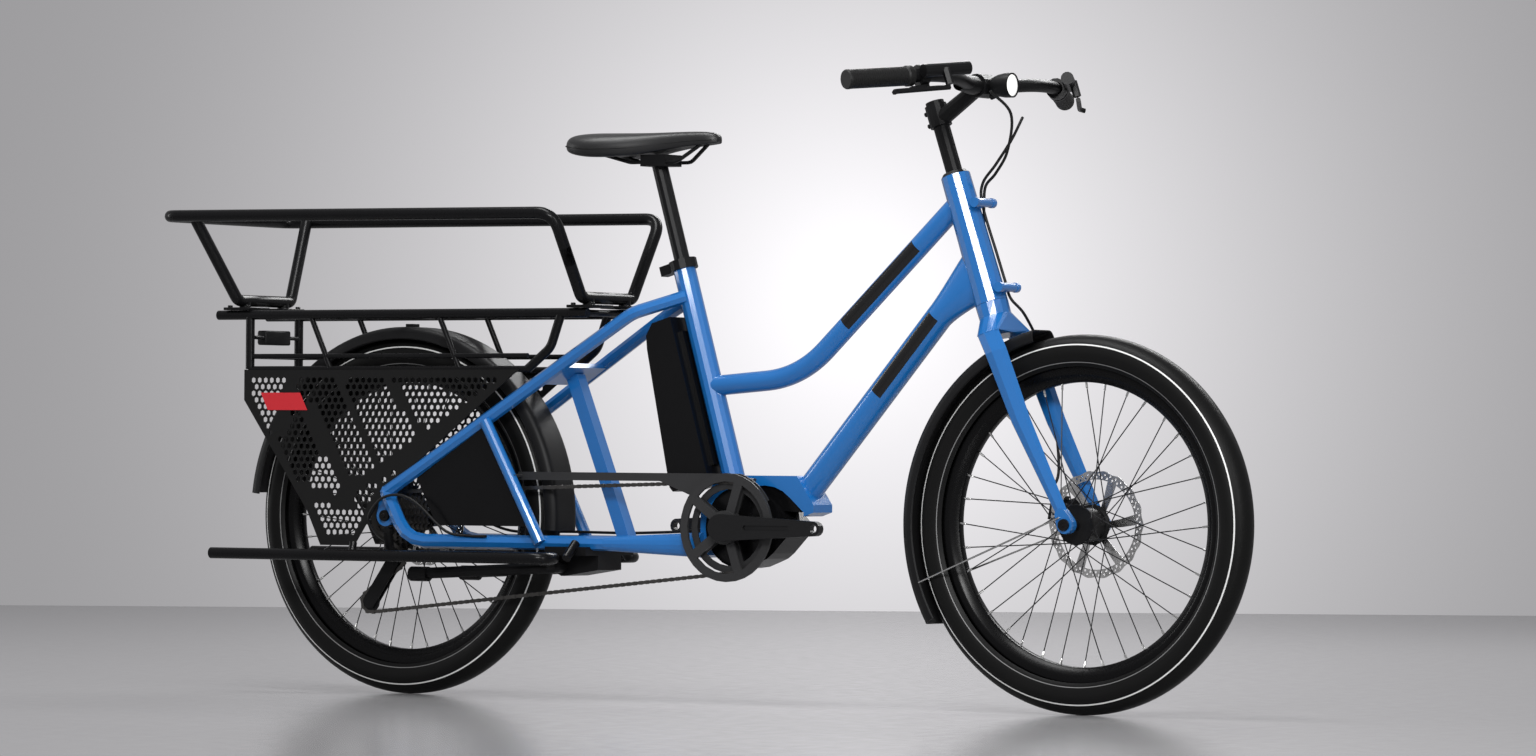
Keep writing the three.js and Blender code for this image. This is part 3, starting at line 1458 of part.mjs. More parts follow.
function makeSaddleClamp() {
  const head = onSeat(postTop + clearance);
  const half = saddleRail.half + saddleRail.radius;
  const lowZ = head.z + seatpost.headHeight / 2;
  const rails = Object.values(sides).map((s) =>
    tube(rounded(railCorners(s), saddleRail.bendRadius, saddleRail.bendSteps), saddleRail.radius, thinSides),
  );
  const cradleBlock = block(
    point(head.x - seatpost.headLength / 2, -half, lowZ - seatpost.headHeight / 2 + seatpost.headLift),
    point(head.x + seatpost.headLength / 2, half, lowZ + seatpost.headHeight / 2),
  );
  const neck = rod(head, head.clone().addScaledVector(seatWay, seatpost.headHeight / 2), seatpost.radius);
  part("saddle_clamp", "blackMetal", join(cradleBlock, neck, ...rails), seatGroup);
}

function makeSaddle() {
  const head = onSeat(postTop);
  const top = head.z + saddle.rise;
  const rings = saddle.stationShares.map(([alongShare, widthShare, dropShare, heightShare]) => {
    const x = head.x + saddle.rear + alongShare * saddle.length;
    const half = (saddle.width / 2) * widthShare;
    const crest = top - dropShare * saddle.height;
    const deep = heightShare * saddle.height;
    const sectionShares = [
      [0, 0],
      [0.5, 0.06],
      [0.85, 0.3],
      [1, 0.75],
      [0.97, 1],
      [0.6, 0.8],
      [0, 0.72],
    ];
    const near = sectionShares.map(([out, down]) => point(x, -out * half, crest - down * deep));
    const far = sectionShares.slice(1, -1).reverse().map(
      ([out, down]) => point(x, out * half, crest - down * deep),
    );
    return [...near, ...far];
  });
  const rails = Object.values(sides).flatMap((s) => railHoles(s));
  part("saddle", "vinyl", cut(loft(rings), ...rails), seatGroup);
}

// The room in the underside of the saddle round one rail.
function railHoles(s) {
  const [rear, flatRear, flatFront, front] = railCorners(s);
  const room = saddleRail.radius + clearance;
  return [stretched(rear, flatRear, room), stretched(front, flatFront, room)];
}

function makeRack() {
  const { half, rear, front, tubeRadius } = rack;
  const height = rackHeight;
  const pieces = [];
  const addRod = (a, b, radius, corners = thinSides) => pieces.push(rod(a, b, radius, corners));
  for (const s of Object.values(sides)) {
    addRod(point(rear, s * half, height), point(front, s * half, height), tubeRadius, stepSides);
    addRod(
      point(rear + rack.postRear, s * half, height),
      point(rear + rack.postRear, s * half, rackBarHeight),
      rack.postRadius,
    );
    addRod(
      point(rack.postForward, s * half, rackRailHeight),
      point(rack.railFront, s * half, rackRailHeight),
      rack.railRadius,
    );
    addRod(
      point(rear + rack.postRear, s * half, rackBarHeight),
      point(rack.barFront, s * half, rackBarHeight),
      rack.barHalf,
    );
    const bend = [
      point(rack.hoopForward, s * half, height),
      point(rack.hoopForward - rack.hoopBack, s * half, height - rack.hoopDrop),
      point(rack.barFront, s * half, rackBarHeight),
    ];
    pieces.push(tube(rounded(bend, rack.hoopBend, bendSteps), rack.postRadius, thinSides));
    for (const forward of rackStruts.forwards) {
      const foot = point(forward + rackStruts.run, s * half, rackBarHeight);
      addRod(point(forward, s * half, height), foot, rack.strutRadius);
    }
  }
  for (const forward of rack.crossForwards) {
    addRod(point(forward, -half, height), point(forward, half, height), rack.crossRadius);
  }
  addRod(
    point(rear + rack.postRear, -half, rackRailHeight),
    point(rear + rack.postRear, half, rackRailHeight),
    rack.railRadius,
  );
  const tools = Object.values(sides).map((s) => triangleShell(s, clearance));
  part("rack", "blackPaint", largest(cut(join(...pieces), ...tools)));
}

function makePassengerRail() {
  const { half, footHalf, rear, front, radius } = hoop;
  const height = rackHeight + hoop.rise;
  const bend = hoop.bendRadius;
  const onFrontLeg = (s, share) =>
    point(front, s * footHalf, hoopFootHeight).lerp(
      point(front, s * hoop.legHalf, rackHeight + hoop.frontRise),
      share,
    );
  const [low, high] = hoop.jointShares;
  const rails = [
    onFrontLeg(sides.right, low),
    onFrontLeg(sides.right, 1),
    point(rear, -half, height),
    point(rear, half, height),
    onFrontLeg(sides.left, 1),
    onFrontLeg(sides.left, low),
  ];
  const frontLegs = [
    onFrontLeg(sides.right, high),
    onFrontLeg(sides.right, 0),
    onFrontLeg(sides.left, 0),
    onFrontLeg(sides.left, high),
  ];
  const rearLegs = [
    point(hoop.rearLegTop, -hoop.legHalf, height),
    point(hoop.rearFoot, -footHalf, hoopFootHeight),
    point(hoop.rearFoot, footHalf, hoopFootHeight),
    point(hoop.rearLegTop, hoop.legHalf, height),
  ];
  const tubes = [
    tube(rounded(rails, bend), radius, legSides),
    tube(rounded(frontLegs, bend / 2), radius, legSides),
    tube(rounded(rearLegs, bend / 2), radius, legSides),
  ];
  const deckTop = rackHeight + rack.tubeRadius + clearance;
  const feet = [front, hoop.rearFoot].flatMap((x) =>
    Object.values(sides).map((s) =>
      block(
        point(x - hoop.footLength / 2, Math.min(s * hoop.plateInner, s * hoop.plateOuter), deckTop),
        point(
          x + hoop.footLength / 2,
          Math.max(s * hoop.plateInner, s * hoop.plateOuter),
          deckTop + hoop.footPlate,
        ),
      ),
    ),
  );
  const rounds = [front, hoop.rearFoot].flatMap((x) =>
    Object.values(sides).map((s) =>
      rod(
        point(x, s * footHalf * hoop.postShare, deckTop),
        point(x, s * footHalf * hoop.postShare, hoopFootHeight),
        radius,
      ),
    ),
  );
  part("passenger_rail", "blackPaint", join(...tubes, ...feet, ...rounds));
}

function makeWheelGuard(name, s) {
  const outline = wheelGuardOutline();
  const [a, b] = [s * sideGuard.side, s * (sideGuard.side + sideGuard.thickness)];
  const sheet = plate(outline, Math.min(a, b), Math.max(a, b));
  part(name, "blackPaint", largest(cut(sheet, triangleShell(s, clearance))));
}
const wheelGuardOutline = () => [
  [sideGuard.rear, rackHeight - sideGuard.topDrop],
  [sideGuard.rear, sideGuard.rearLow],
  [sideGuard.footRear, sideGuard.footTop],
  [sideGuard.footRear + sideGuard.band, sideGuard.low],
  [sideGuard.footFront, sideGuard.low],
  [sideGuard.front + sideGuard.axleForward, sideGuard.axleHeight],
  [sideGuard.front, rackHeight - sideGuard.topDrop],
];

function makeSidePanel(name, s) {
  const [a, b] = [s * panel.side, s * (panel.side + panel.thickness)];
  part(
    name,
    "blackPlastic",
    largest(cut(plate(panel.outline, Math.min(a, b), Math.max(a, b)), triangleShell(s, clearance))),
  );
}

function makeFootrest(name, s) {
  const { side, inner, radius, rear, front, innerRear } = step;
  const height = bracketHeight - step.drop;
  const path = rounded(
    [
      point(rear, s * side, height),
      point(front, s * side, height),
      point(front, s * inner, height),
      point(innerRear, s * inner, height),
    ],
    (side - inner) / 2 - clearance,
    bendSteps,
  );
  const crosses = step.crossForwards.map((forward) => {
    const low = point(
      forward - step.crossWidth / 2,
      Math.min(s * side, s * inner),
      height - step.crossHeight / 2,
    );
    const high = point(
      forward + step.crossWidth / 2,
      Math.max(s * side, s * inner),
      height + step.crossHeight / 2,
    );
    return block(low, high);
  });
  const arm = rod(
    point(step.armForward, s * inner, height),
    point(step.armForward, s * step.armInner, bracketHeight + chainstay.rise),
    step.armRadius,
    thinSides,
  );
  const hanger = rod(
    point(step.hangerForward, s * inner, height),
    point(
      step.hangerForward,
      s * (sideGuard.side + sideGuard.thickness + clearance + step.hangerRadius),
      sideGuard.low + overrun * 2,
    ),
    step.hangerRadius,
    thinSides,
  );
  const whole = join(tube(path, radius, stepSides), ...crosses, arm, hanger);
  part(name, "blackPaint", largest(cut(whole, triangleShell(s, clearance))));
}

function makeTailLight() {
  const { width, height, depth, forward } = tailLight;
  const rise = rackHeight - tailLight.drop;
  const shell = block(
    point(forward - depth / 2, -width / 2, rise - height / 2),
    point(forward + depth / 2, width / 2, rise + height / 2),
  );
  const reach = rack.half - rack.postRadius - clearance;
  const pin = rod(point(forward, -reach, rise), point(forward, reach, rise), tailLight.pinRadius, thinSides);
  part("tail_light", "darkRed", join(shell, pin));
}

function makeRearMudguard() {
  const shell = mudguardShell(rearGuardFrom, rearGuardTo).translate(rearAxle.x, rearAxle.y, rearAxle.z);
  const post = block(
    point(-guardStay.tab, -guardStay.tab, wheelRadius + mudguardRadius - mudguard.thickness),
    point(guardStay.tab, guardStay.tab, rackHeight - rack.crossRadius - clearance),
  );
  const braceSpot = fromRear(
    brace.topForward + guardStay.braceShare * (brace.footForward - brace.topForward),
    0,
    0,
  );
  const along = mudguardRadius - mudguard.thickness;
  const angle = radians(guardStay.braceAngle);
  const start = fromRear(along * Math.cos(angle), 0, along * Math.sin(angle));
  const link = rod(start, point(braceSpot.x, 0, start.z), guardStay.linkRadius, thinSides);
  part("rear_mudguard", "blackPlastic", largest(cut(join(shell, post, link), braceShell(clearance))));
}

function makeStandBracket() {
  const pivot = [stand.pivotForward, pivotHeight];
  const top = bracketHeight + chainstay.rise - chainstay.radius;
  const cheek = wrap([
    ...round(...pivot, stand.legRadius + stand.wall, roundSides),
    [stand.plateRear, top - clearance],
    [stand.plateFront, top - clearance],
    [stand.plateFront, top - stand.plateDeep],
  ]);
  const wing = block(
    point(stand.plateRear, -stand.plateHalf, top - stand.plateThickness),
    point(stand.plateFront, stand.plateHalf, top + chainstay.radius / 2),
  );
  const bore = rod(
    point(pivot[0], -stand.side, pivot[1]),
    point(pivot[0], stand.side, pivot[1]),
    stand.legRadius + runningGap,
  );
  const tools = Object.values(sides).map((s) => triangleShell(s, clearance));
  const whole = cut(
    join(plate(cheek, -stand.cheekHalf, stand.cheekHalf), wing),
    bore,
    ...tools,
    braceShell(clearance),
  );
  part("stand_bracket", "blackMetal", largest(whole));
}

const standGroup = new THREE.Group();
standGroup.name = "stand";
standGroup.position.set(stand.pivotForward, 0, pivotHeight);
bike.add(standGroup);

function makeStand() {
  const legs = Object.values(sides).map((s) => [
    point(0, s * stand.cheekHalf, 0),
    point(0, s * stand.side, 0),
    point(-stand.length, s * stand.footSide, -stand.droop),
  ]);
  const path = rounded([legs[0][2], legs[0][1], legs[1][1], legs[1][2]], stand.bendRadius);
  const feet = legs.map(([, , end]) => {
    const back = end.clone().add(point(stand.footLength, 0, 0));
    return rod(end.clone().add(point(-overrun, 0, 0)), back, stand.footRadius);
  });
  part("kickstand", "blackMetal", join(tube(path, stand.legRadius), ...feet), standGroup);
}

function makeDerailleur() {
  const side = -ring.sprocketSide;
  const hanger = fromRear(hangerPlace.forward, -dropout.innerSide + clearance, -hangerPlace.drop);
  const knuckle = point(cage.upper[0], side - cage.outer - cage.bodyRadius, cage.upper[1]);
  const body = join(
    rod(
      hanger.clone().setY(-dropout.innerSide - dropout.thickness - cage.bodyRadius),
      hanger,
      cage.bodyRadius,
    ),
    rod(
      hanger.clone().setY(-dropout.innerSide - dropout.thickness - cage.bodyRadius / 2),
      knuckle,
      cage.bodyRadius,
    ),
    rod(knuckle, knuckle.clone().setY(side - cage.outer - clearance), cage.bodyRadius),
  );
  part("derailleur", "blackMetal", largest(cut(body, triangleShell(sides.right, clearance))));
}

function makeCage() {
  const side = -ring.sprocketSide;
  const outline = wrap(
    [
      ...round(...cage.upper, cage.plateRadius, thinSides),
      ...round(...cage.lower, cage.plateRadius, thinSides),
    ],
  );
  const plates = [-1, 1].map((way) => {
    const [a, b] = [side + way * cage.inner, side + way * cage.outer];
    return plate(outline, Math.min(a, b), Math.max(a, b));
  });
  const wheels = [cage.upper, cage.lower].flatMap((centre) => [
    plate(
      round(...centre, cage.wheelRadius - clearance, roundSides),
      side - cage.wheelHalf,
      side + cage.wheelHalf,
    ),
    plate(round(...centre, cage.pinRadius, thinSides), side - cage.outer, side + cage.outer),
  ]);
  part("derailleur_cage", "blackMetal", join(...plates, ...wheels));
}
// Cords

// A round cord through hand-chosen places.
function cord(name, places, finish = "rubber") {
  const curve = new THREE.CatmullRomCurve3(places, false, "centripetal");
  const path = curve.getSpacedPoints(Math.round(curve.getLength() / cordSize.step));
  part(name, finish, tube(path, cordSize.radius, cordSides));
}

const steerPoint = ([ahead, side, rise]) => onSteer(rise, ahead, side);

function mountEnd(s) {
  const local = nearGrip(s, -lever.bodyBack - cordSize.endGap, lever.bodyAhead, 0);
  const before = nearGrip(s, -lever.bodyBack - cordSize.lead, lever.bodyAhead, 0);
  return [local, before].map((spot) => steerPoint([spot.x, spot.y, spot.z]));
}

function makeHoses() {
  cord("brake_hose_front", [...mountEnd(sides.left), ...frontHose.map(steerPoint)]);
  cord("brake_hose_rear", [
    ...mountEnd(sides.right),
    ...rearHoseSteer.map(steerPoint),
    ...rearHoseFrame.map((corner) => point(...corner)),
  ]);
  cord("shift_cable", shiftCable.map((corner) => point(...corner)));
}

makeHeadTube();
makeHeadset();
makeTopTube();
makeDownTube();
makeSeatTube();
makeCradle();
makeRearTriangle("rear_triangle_right", sides.right);
makeRearTriangle("rear_triangle_left", sides.left);
makeBrace();
makeMotor();
makeBattery();
makeChainGuard();
makeCranks();
makeChainring();
makeRearWheel();
makeCassette();
makeChain();
makeDerailleur();
makeCage();
makeFork();
makeStem();
makeHandlebar();
makeGrip("grip_right", sides.right);
makeGrip("grip_left", sides.left);
makeBrakeMount("brake_mount_right", sides.right);
makeBrakeMount("brake_mount_left", sides.left);
makeLever("brake_lever_right", sides.right);
makeLever("brake_lever_left", sides.left);
makeShifterLever();
makeHeadlight();
makeFrontMudguard();
makeFrontWheel();
makeCalipers();
makeSeatClamp();
makeSeatpost();
makeSaddleClamp();
makeSaddle();
makeRack();
makePassengerRail();
makeWheelGuard("wheel_guard_right", sides.right);
makeWheelGuard("wheel_guard_left", sides.left);
makeSidePanel("side_panel_right", sides.right);
makeSidePanel("side_panel_left", sides.left);
makeFootrest("footrest_right", sides.right);
makeFootrest("footrest_left", sides.left);
makeTailLight();
makeRearMudguard();
makeStandBracket();
makeStand();
makeHoses();

export default bike;
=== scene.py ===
import json
import math
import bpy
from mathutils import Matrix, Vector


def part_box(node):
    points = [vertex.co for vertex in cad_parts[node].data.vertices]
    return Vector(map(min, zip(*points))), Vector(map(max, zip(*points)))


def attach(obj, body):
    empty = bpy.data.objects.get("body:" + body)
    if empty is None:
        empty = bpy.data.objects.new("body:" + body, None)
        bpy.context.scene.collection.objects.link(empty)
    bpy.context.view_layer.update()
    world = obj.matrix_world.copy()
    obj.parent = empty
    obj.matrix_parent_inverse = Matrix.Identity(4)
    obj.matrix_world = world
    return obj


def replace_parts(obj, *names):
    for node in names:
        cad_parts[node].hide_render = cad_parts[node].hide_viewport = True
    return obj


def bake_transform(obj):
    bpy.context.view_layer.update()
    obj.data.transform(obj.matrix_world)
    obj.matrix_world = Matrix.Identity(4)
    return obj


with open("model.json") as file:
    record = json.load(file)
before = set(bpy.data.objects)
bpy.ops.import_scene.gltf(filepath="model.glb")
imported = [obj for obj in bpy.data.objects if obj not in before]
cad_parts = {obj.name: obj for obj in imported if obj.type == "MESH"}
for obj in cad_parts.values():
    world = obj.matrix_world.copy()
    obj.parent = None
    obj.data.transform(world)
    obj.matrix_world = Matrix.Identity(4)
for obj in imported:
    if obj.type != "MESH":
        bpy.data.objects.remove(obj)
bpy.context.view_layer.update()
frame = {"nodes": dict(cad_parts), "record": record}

from types import SimpleNamespace

import bmesh
import bpy
from mathutils import Matrix, Vector
from mathutils.geometry import delaunay_2d_cdt

# A longtail cargo bike. Metres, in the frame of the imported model: X forward, Y to the rider's left, Z up.

MM = 0.001
RIGHT, LEFT = -1, 1
SIDES = {"right": RIGHT, "left": LEFT}

# The photograph's view: where the camera stands, its turn, tilt and roll in degrees, and its lens
PHOTO_WIDTH = 1536
FOCAL_PIXELS = 6387.99
CAMERA_PLACE = Vector((6.6607, -9.1863, 0.4338))
CAMERA_TURN = 32.757
CAMERA_TILT = -0.656
CAMERA_ROLL = 0.399
SENSOR_WIDTH = 36.0
# The middle of the backdrop's glow, in photograph pixels from its middle, and the glow's reach in radians
GLOW_RIGHT, GLOW_RISE = 92, 78
GLOW_REACH = 0.15
BACKDROP_TONE = (0.34, 0.335, 0.345, 1)
GLOW_TONE = (1.14, 1.12, 1.15, 1)
LIGHT_TONE = (0.86, 0.87, 0.9, 1)
LIGHT_STRENGTH = 0.3
# What the lamps point at, and half the floor's side
AIM = (0.7, 0, 0.5)
FLOOR_HALF = 6.45
# Each lamp's place, its width and height, and its power in watts
LAMPS = {
    "key": ((4.2, -5.6, 3.4), (2.6, 1.2), 300),
    "tall_rear": ((-5.4, -1.6, 1.6), (0.5, 3.0), 40),
    "tall_side": ((5.6, -2.2, 1.8), (0.6, 3.0), 60),
    "rim": ((0.4, 4.2, 3.6), (4.0, 0.6), 130),
    "overhead": ((0.3, -0.8, 4.4), (3.6, 0.9), 130),
}


def in_metres(value):
    """Millimetres to metres: a length, or rows of lengths."""
    return [in_metres(v) for v in value] if isinstance(value, (list, tuple)) else value * MM


def sizes(**lengths):
    """Named lengths given in millimetres and kept in metres."""
    return SimpleNamespace(**{name: in_metres(value) for name, value in lengths.items()})


def joint(name):
    return next(j for j in frame["record"]["behaviour"]["joints"] if j["name"] == name)


def middle(node):
    low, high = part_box(node)
    return (Vector(low) + Vector(high)) / 2


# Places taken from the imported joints
STEER_UP = Vector(joint("steering_turn")["axis"]).normalized()
STEER_AHEAD = Vector((STEER_UP.z, 0, -STEER_UP.x))
RACE = Vector(joint("steering_turn")["pos_m"])
FRONT_AXLE = Vector(joint("front_wheel_spin")["pos_m"])
REAR_AXLE = Vector(joint("rear_wheel_spin")["pos_m"])
BRACKET = Vector(joint("crank_spin")["pos_m"])
SEAT_WAY = Vector(joint("seatpost_slide")["axis"]).normalized()


def on_steer(up, ahead=0.0, side=0.0):
    return RACE + STEER_UP * up + STEER_AHEAD * ahead + Vector((0, side, 0))


def on_seat(along, back=0.0, side=0.0):
    backwards = Vector((-SEAT_WAY.z, 0, SEAT_WAY.x))
    return BRACKET + SEAT_WAY * along + backwards * back + Vector((0, side, 0))


# Nodes of materials, of the world and of modifiers

def fill_inputs(node, inputs):
    """Sets a node's inputs to values, or links them to the outputs of other nodes."""
    for name, value in inputs.items():
        if isinstance(value, bpy.types.NodeSocket):
            node.id_data.links.new(value, node.inputs[name])
        else:
            node.inputs[name].default_value = value


def add_node(tree, kind, inputs=None, **settings):
    """A new node with its settings and its inputs."""
    node = tree.nodes.new(kind)
    for name, value in settings.items():
        setattr(node, name, value)
    fill_inputs(node, inputs or {})
    return node


def node_of(material, kind):
    return next(n for n in material.node_tree.nodes if n.type == kind)


# Camera and light

def camera_axes():
    """The camera's ways to the right, up and back."""
    turn, tilt, roll = (math.radians(a) for a in (CAMERA_TURN, CAMERA_TILT, CAMERA_ROLL))
    back = Vector((math.sin(turn) * math.cos(tilt), -math.cos(turn) * math.cos(tilt), math.sin(tilt)))
    level = Vector((math.cos(turn), math.sin(turn), 0))
    rise = back.cross(level)
    across = level * math.cos(roll) + rise * math.sin(roll)
    upward = rise * math.cos(roll) - level * math.sin(roll)
    return across, upward, back


def make_camera():
    camera = bpy.data.objects.new("camera", bpy.data.cameras.new("camera"))
    camera.data.sensor_width = SENSOR_WIDTH
    camera.data.lens = FOCAL_PIXELS / PHOTO_WIDTH * SENSOR_WIDTH
    camera.data.clip_end = 100
    camera.matrix_world = Matrix.Translation(CAMERA_PLACE) @ Matrix(camera_axes()).transposed().to_4x4()
    bpy.context.scene.collection.objects.link(camera)
    bpy.context.scene.camera = camera


def make_lamp(name, place, size, power):
    data = bpy.data.lights.new(name, "AREA")
    data.shape = "RECTANGLE"
    data.size, data.size_y = size
    data.energy = power
    lamp = bpy.data.objects.new(name, data)
    lamp.location = place
    lamp.rotation_euler = (Vector(AIM) - Vector(place)).to_track_quat("-Z", "Y").to_euler()
    bpy.context.scene.collection.objects.link(lamp)


def glow_way():
    """The way from the camera to the middle of the glow."""
    across, upward, back = camera_axes()
    return (across * GLOW_RIGHT + upward * GLOW_RISE - back * FOCAL_PIXELS).normalized()


def make_sky():
    """Even light from all round; the camera and shiny surfaces see a pale backdrop with a soft glow in it."""
    world = bpy.data.worlds.new("studio")
    bpy.context.scene.world = world
    world.use_nodes = True
    tree = world.node_tree
    light = tree.nodes["Background"]
    fill_inputs(light, {"Color": LIGHT_TONE, "Strength": LIGHT_STRENGTH})
    where = add_node(tree, "ShaderNodeTexCoord").outputs["Generated"]
    place = {"Location": -glow_way() / GLOW_REACH, "Scale": [1 / GLOW_REACH] * 3, "Vector": where}
    place = add_node(tree, "ShaderNodeMapping", place).outputs["Vector"]
    fall = add_node(tree, "ShaderNodeTexGradient", {"Vector": place}, gradient_type="QUADRATIC_SPHERE")
    tones = {"A": BACKDROP_TONE, "B": GLOW_TONE, "Factor": fall.outputs["Fac"]}
    tone = add_node(tree, "ShaderNodeMix", tones, data_type="RGBA").outputs["Result"]
    seen = add_node(tree, "ShaderNodeBackground", {"Color": tone}).outputs["Background"]
    ray = add_node(tree, "ShaderNodeLightPath")
    share = ray.outputs["Is Camera Ray"]
    for kind in ("Is Glossy Ray", "Is Transmission Ray"):
        both = add_node(tree, "ShaderNodeMath", {0: share, 1: ray.outputs[kind]}, use_clamp=True)
        share = both.outputs["Value"]
    mix = add_node(tree, "ShaderNodeMixShader", {"Fac": share, 1: light.outputs["Background"], 2: seen})
    fill_inputs(tree.nodes["World Output"], {"Surface": mix.outputs["Shader"]})


def make_studio():
    bpy.context.scene.view_settings.view_transform = "Standard"
    make_sky()
    for name, (place, size, power) in LAMPS.items():
        make_lamp(name, place, size, power)


def make_floor():
    """A pale floor round the bike, turned to the camera, whose far edge is the line seen behind the bike."""
    across, _, back = camera_axes()
    sideways = Vector((across.x, across.y, 0)).normalized() * FLOOR_HALF
    ahead = -Vector((back.x, back.y, 0)).normalized() * FLOOR_HALF
    middle_place = Vector((AIM[0], AIM[1], 0))
    mesh = bpy.data.meshes.new("floor")
    corners = [-sideways - ahead, sideways - ahead, sideways + ahead, ahead - sideways]
    mesh.from_pydata([middle_place + corner for corner in corners], [], [(0, 1, 2, 3)])
    floor = bpy.data.objects.new("floor", mesh)
    bpy.context.scene.collection.objects.link(floor)
    mesh.materials.append(MATERIALS["floor"])


# Materials

COAT_ROUGHNESS = 0.06
LEAST_ROUGHNESS = 0.02
# The tyre's grooves: how many go round, how much they slant with the distance from its middle, how narrow
# they are, and between which distances from the middle they lie
TREAD_COUNT, TREAD_SLANT, TREAD_SHARE = 84, 170, 0.72
TREAD_GAP, TREAD_HALF = 3 * MM, 22 * MM


def add_relief(material, height, strength, distance, **settings):
    """Lets the surface rise and sink with a shader value, and returns the node that does it."""
    inputs = {"Strength": strength, "Distance": distance, "Height": height}
    relief = add_node(material.node_tree, "ShaderNodeBump", inputs, **settings)
    fill_inputs(node_of(material, "BSDF_PRINCIPLED"), {"Normal": relief.outputs["Normal"]})
    return relief


def finish_of(name, colour, darker, roughness, metallic=0.0, grain=60.0, bump=0.04, spread=0.08, coat=0.0,
              specular=0.5):
    """A surface whose colour, gloss and relief vary with fine noise fixed to the object."""
    material = bpy.data.materials.new(name)
    material.use_nodes = True
    tree = material.node_tree
    where = add_node(tree, "ShaderNodeTexCoord").outputs["Object"]
    broad, fine = (
        add_node(tree, "ShaderNodeTexNoise", {"Scale": scale, "Detail": detail, "Vector": where}).outputs["Fac"]
        for scale, detail in ((grain / 8, 4), (grain * 8, 3)))
    tint = {"A": (*darker, 1), "B": (*colour, 1), "Factor": broad}
    gloss = {"To Min": max(roughness - spread, LEAST_ROUGHNESS), "To Max": roughness + spread, "Value": fine}
    fill_inputs(node_of(material, "BSDF_PRINCIPLED"), {
        "Base Color": add_node(tree, "ShaderNodeMix", tint, data_type="RGBA").outputs["Result"],
        "Roughness": add_node(tree, "ShaderNodeMapRange", gloss).outputs["Result"],
        "Metallic": metallic, "Specular IOR Level": specular,
        "Coat Weight": coat, "Coat Roughness": COAT_ROUGHNESS,
    })
    add_relief(material, fine, bump, MM)
    return material


def brushed_disc():
    """Ground steel with fine rings round the disc's axle."""
    material = finish_of("ground_steel", (0.72, 0.72, 0.71), (0.58, 0.58, 0.57), 0.26, metallic=1.0, grain=90,
                         bump=0.02)
    rings = {"Scale": 420, "Distortion": 1.5, "Vector": node_of(material, "TEX_COORD").outputs["Object"]}
    rings = add_node(material.node_tree, "ShaderNodeTexWave", rings, wave_type="RINGS", rings_direction="Y")
    add_relief(material, rings.outputs["Color"], 0.12, 0.2 * MM)
    return material


def tread_rubber():
    """Rubber with slanted tread grooves near the crown of the tyre, fixed to the wheel."""
    material = finish_of("tyre_rubber", (0.007, 0.007, 0.007), (0.005, 0.005, 0.005), 0.42, bump=0.05,
                         specular=0.12)
    tree = material.node_tree

    def compute(operation, *values):
        return add_node(tree, "ShaderNodeMath", dict(enumerate(values)), operation=operation).outputs["Value"]

    where = {"Vector": node_of(material, "TEX_COORD").outputs["Object"]}
    x, y, z = add_node(tree, "ShaderNodeSeparateXYZ", where).outputs
    side = compute("ABSOLUTE", y)
    turn = compute("MULTIPLY", compute("ARCTAN2", z, x), TREAD_COUNT)
    phase = compute("ADD", turn, compute("MULTIPLY", side, TREAD_SLANT))
    groove = compute("GREATER_THAN", compute("SINE", phase), TREAD_SHARE)
    on_crown = compute("LESS_THAN", side, TREAD_HALF)
    off_middle = compute("GREATER_THAN", side, TREAD_GAP)
    depth = compute("MULTIPLY", compute("MULTIPLY", groove, on_crown), off_middle)
    fine = node_of(material, "BUMP").outputs["Normal"]
    fill_inputs(add_relief(material, depth, 0.9, 1.5 * MM, invert=True), {"Normal": fine})
    return material


def leather():
    """A smooth synthetic cover with a fine cell grain."""
    material = finish_of("saddle_cover", (0.010, 0.010, 0.0105), (0.006, 0.006, 0.0065), 0.42, grain=70,
                         bump=0.03)
    cells = {"Scale": 900, "Vector": node_of(material, "TEX_COORD").outputs["Object"]}
    cells = add_node(material.node_tree, "ShaderNodeTexVoronoi", cells)
    add_relief(material, cells.outputs["Distance"], 0.25, 0.3 * MM)
    return material


def lamp_glass():
    material = finish_of("lamp_lens", (0.95, 0.95, 0.93), (0.86, 0.86, 0.85), 0.12, bump=0.05, coat=0.6)
    glow = {"Emission Color": (1, 1, 0.97, 1), "Emission Strength": 0.55}
    fill_inputs(node_of(material, "BSDF_PRINCIPLED"), glow)
    return material


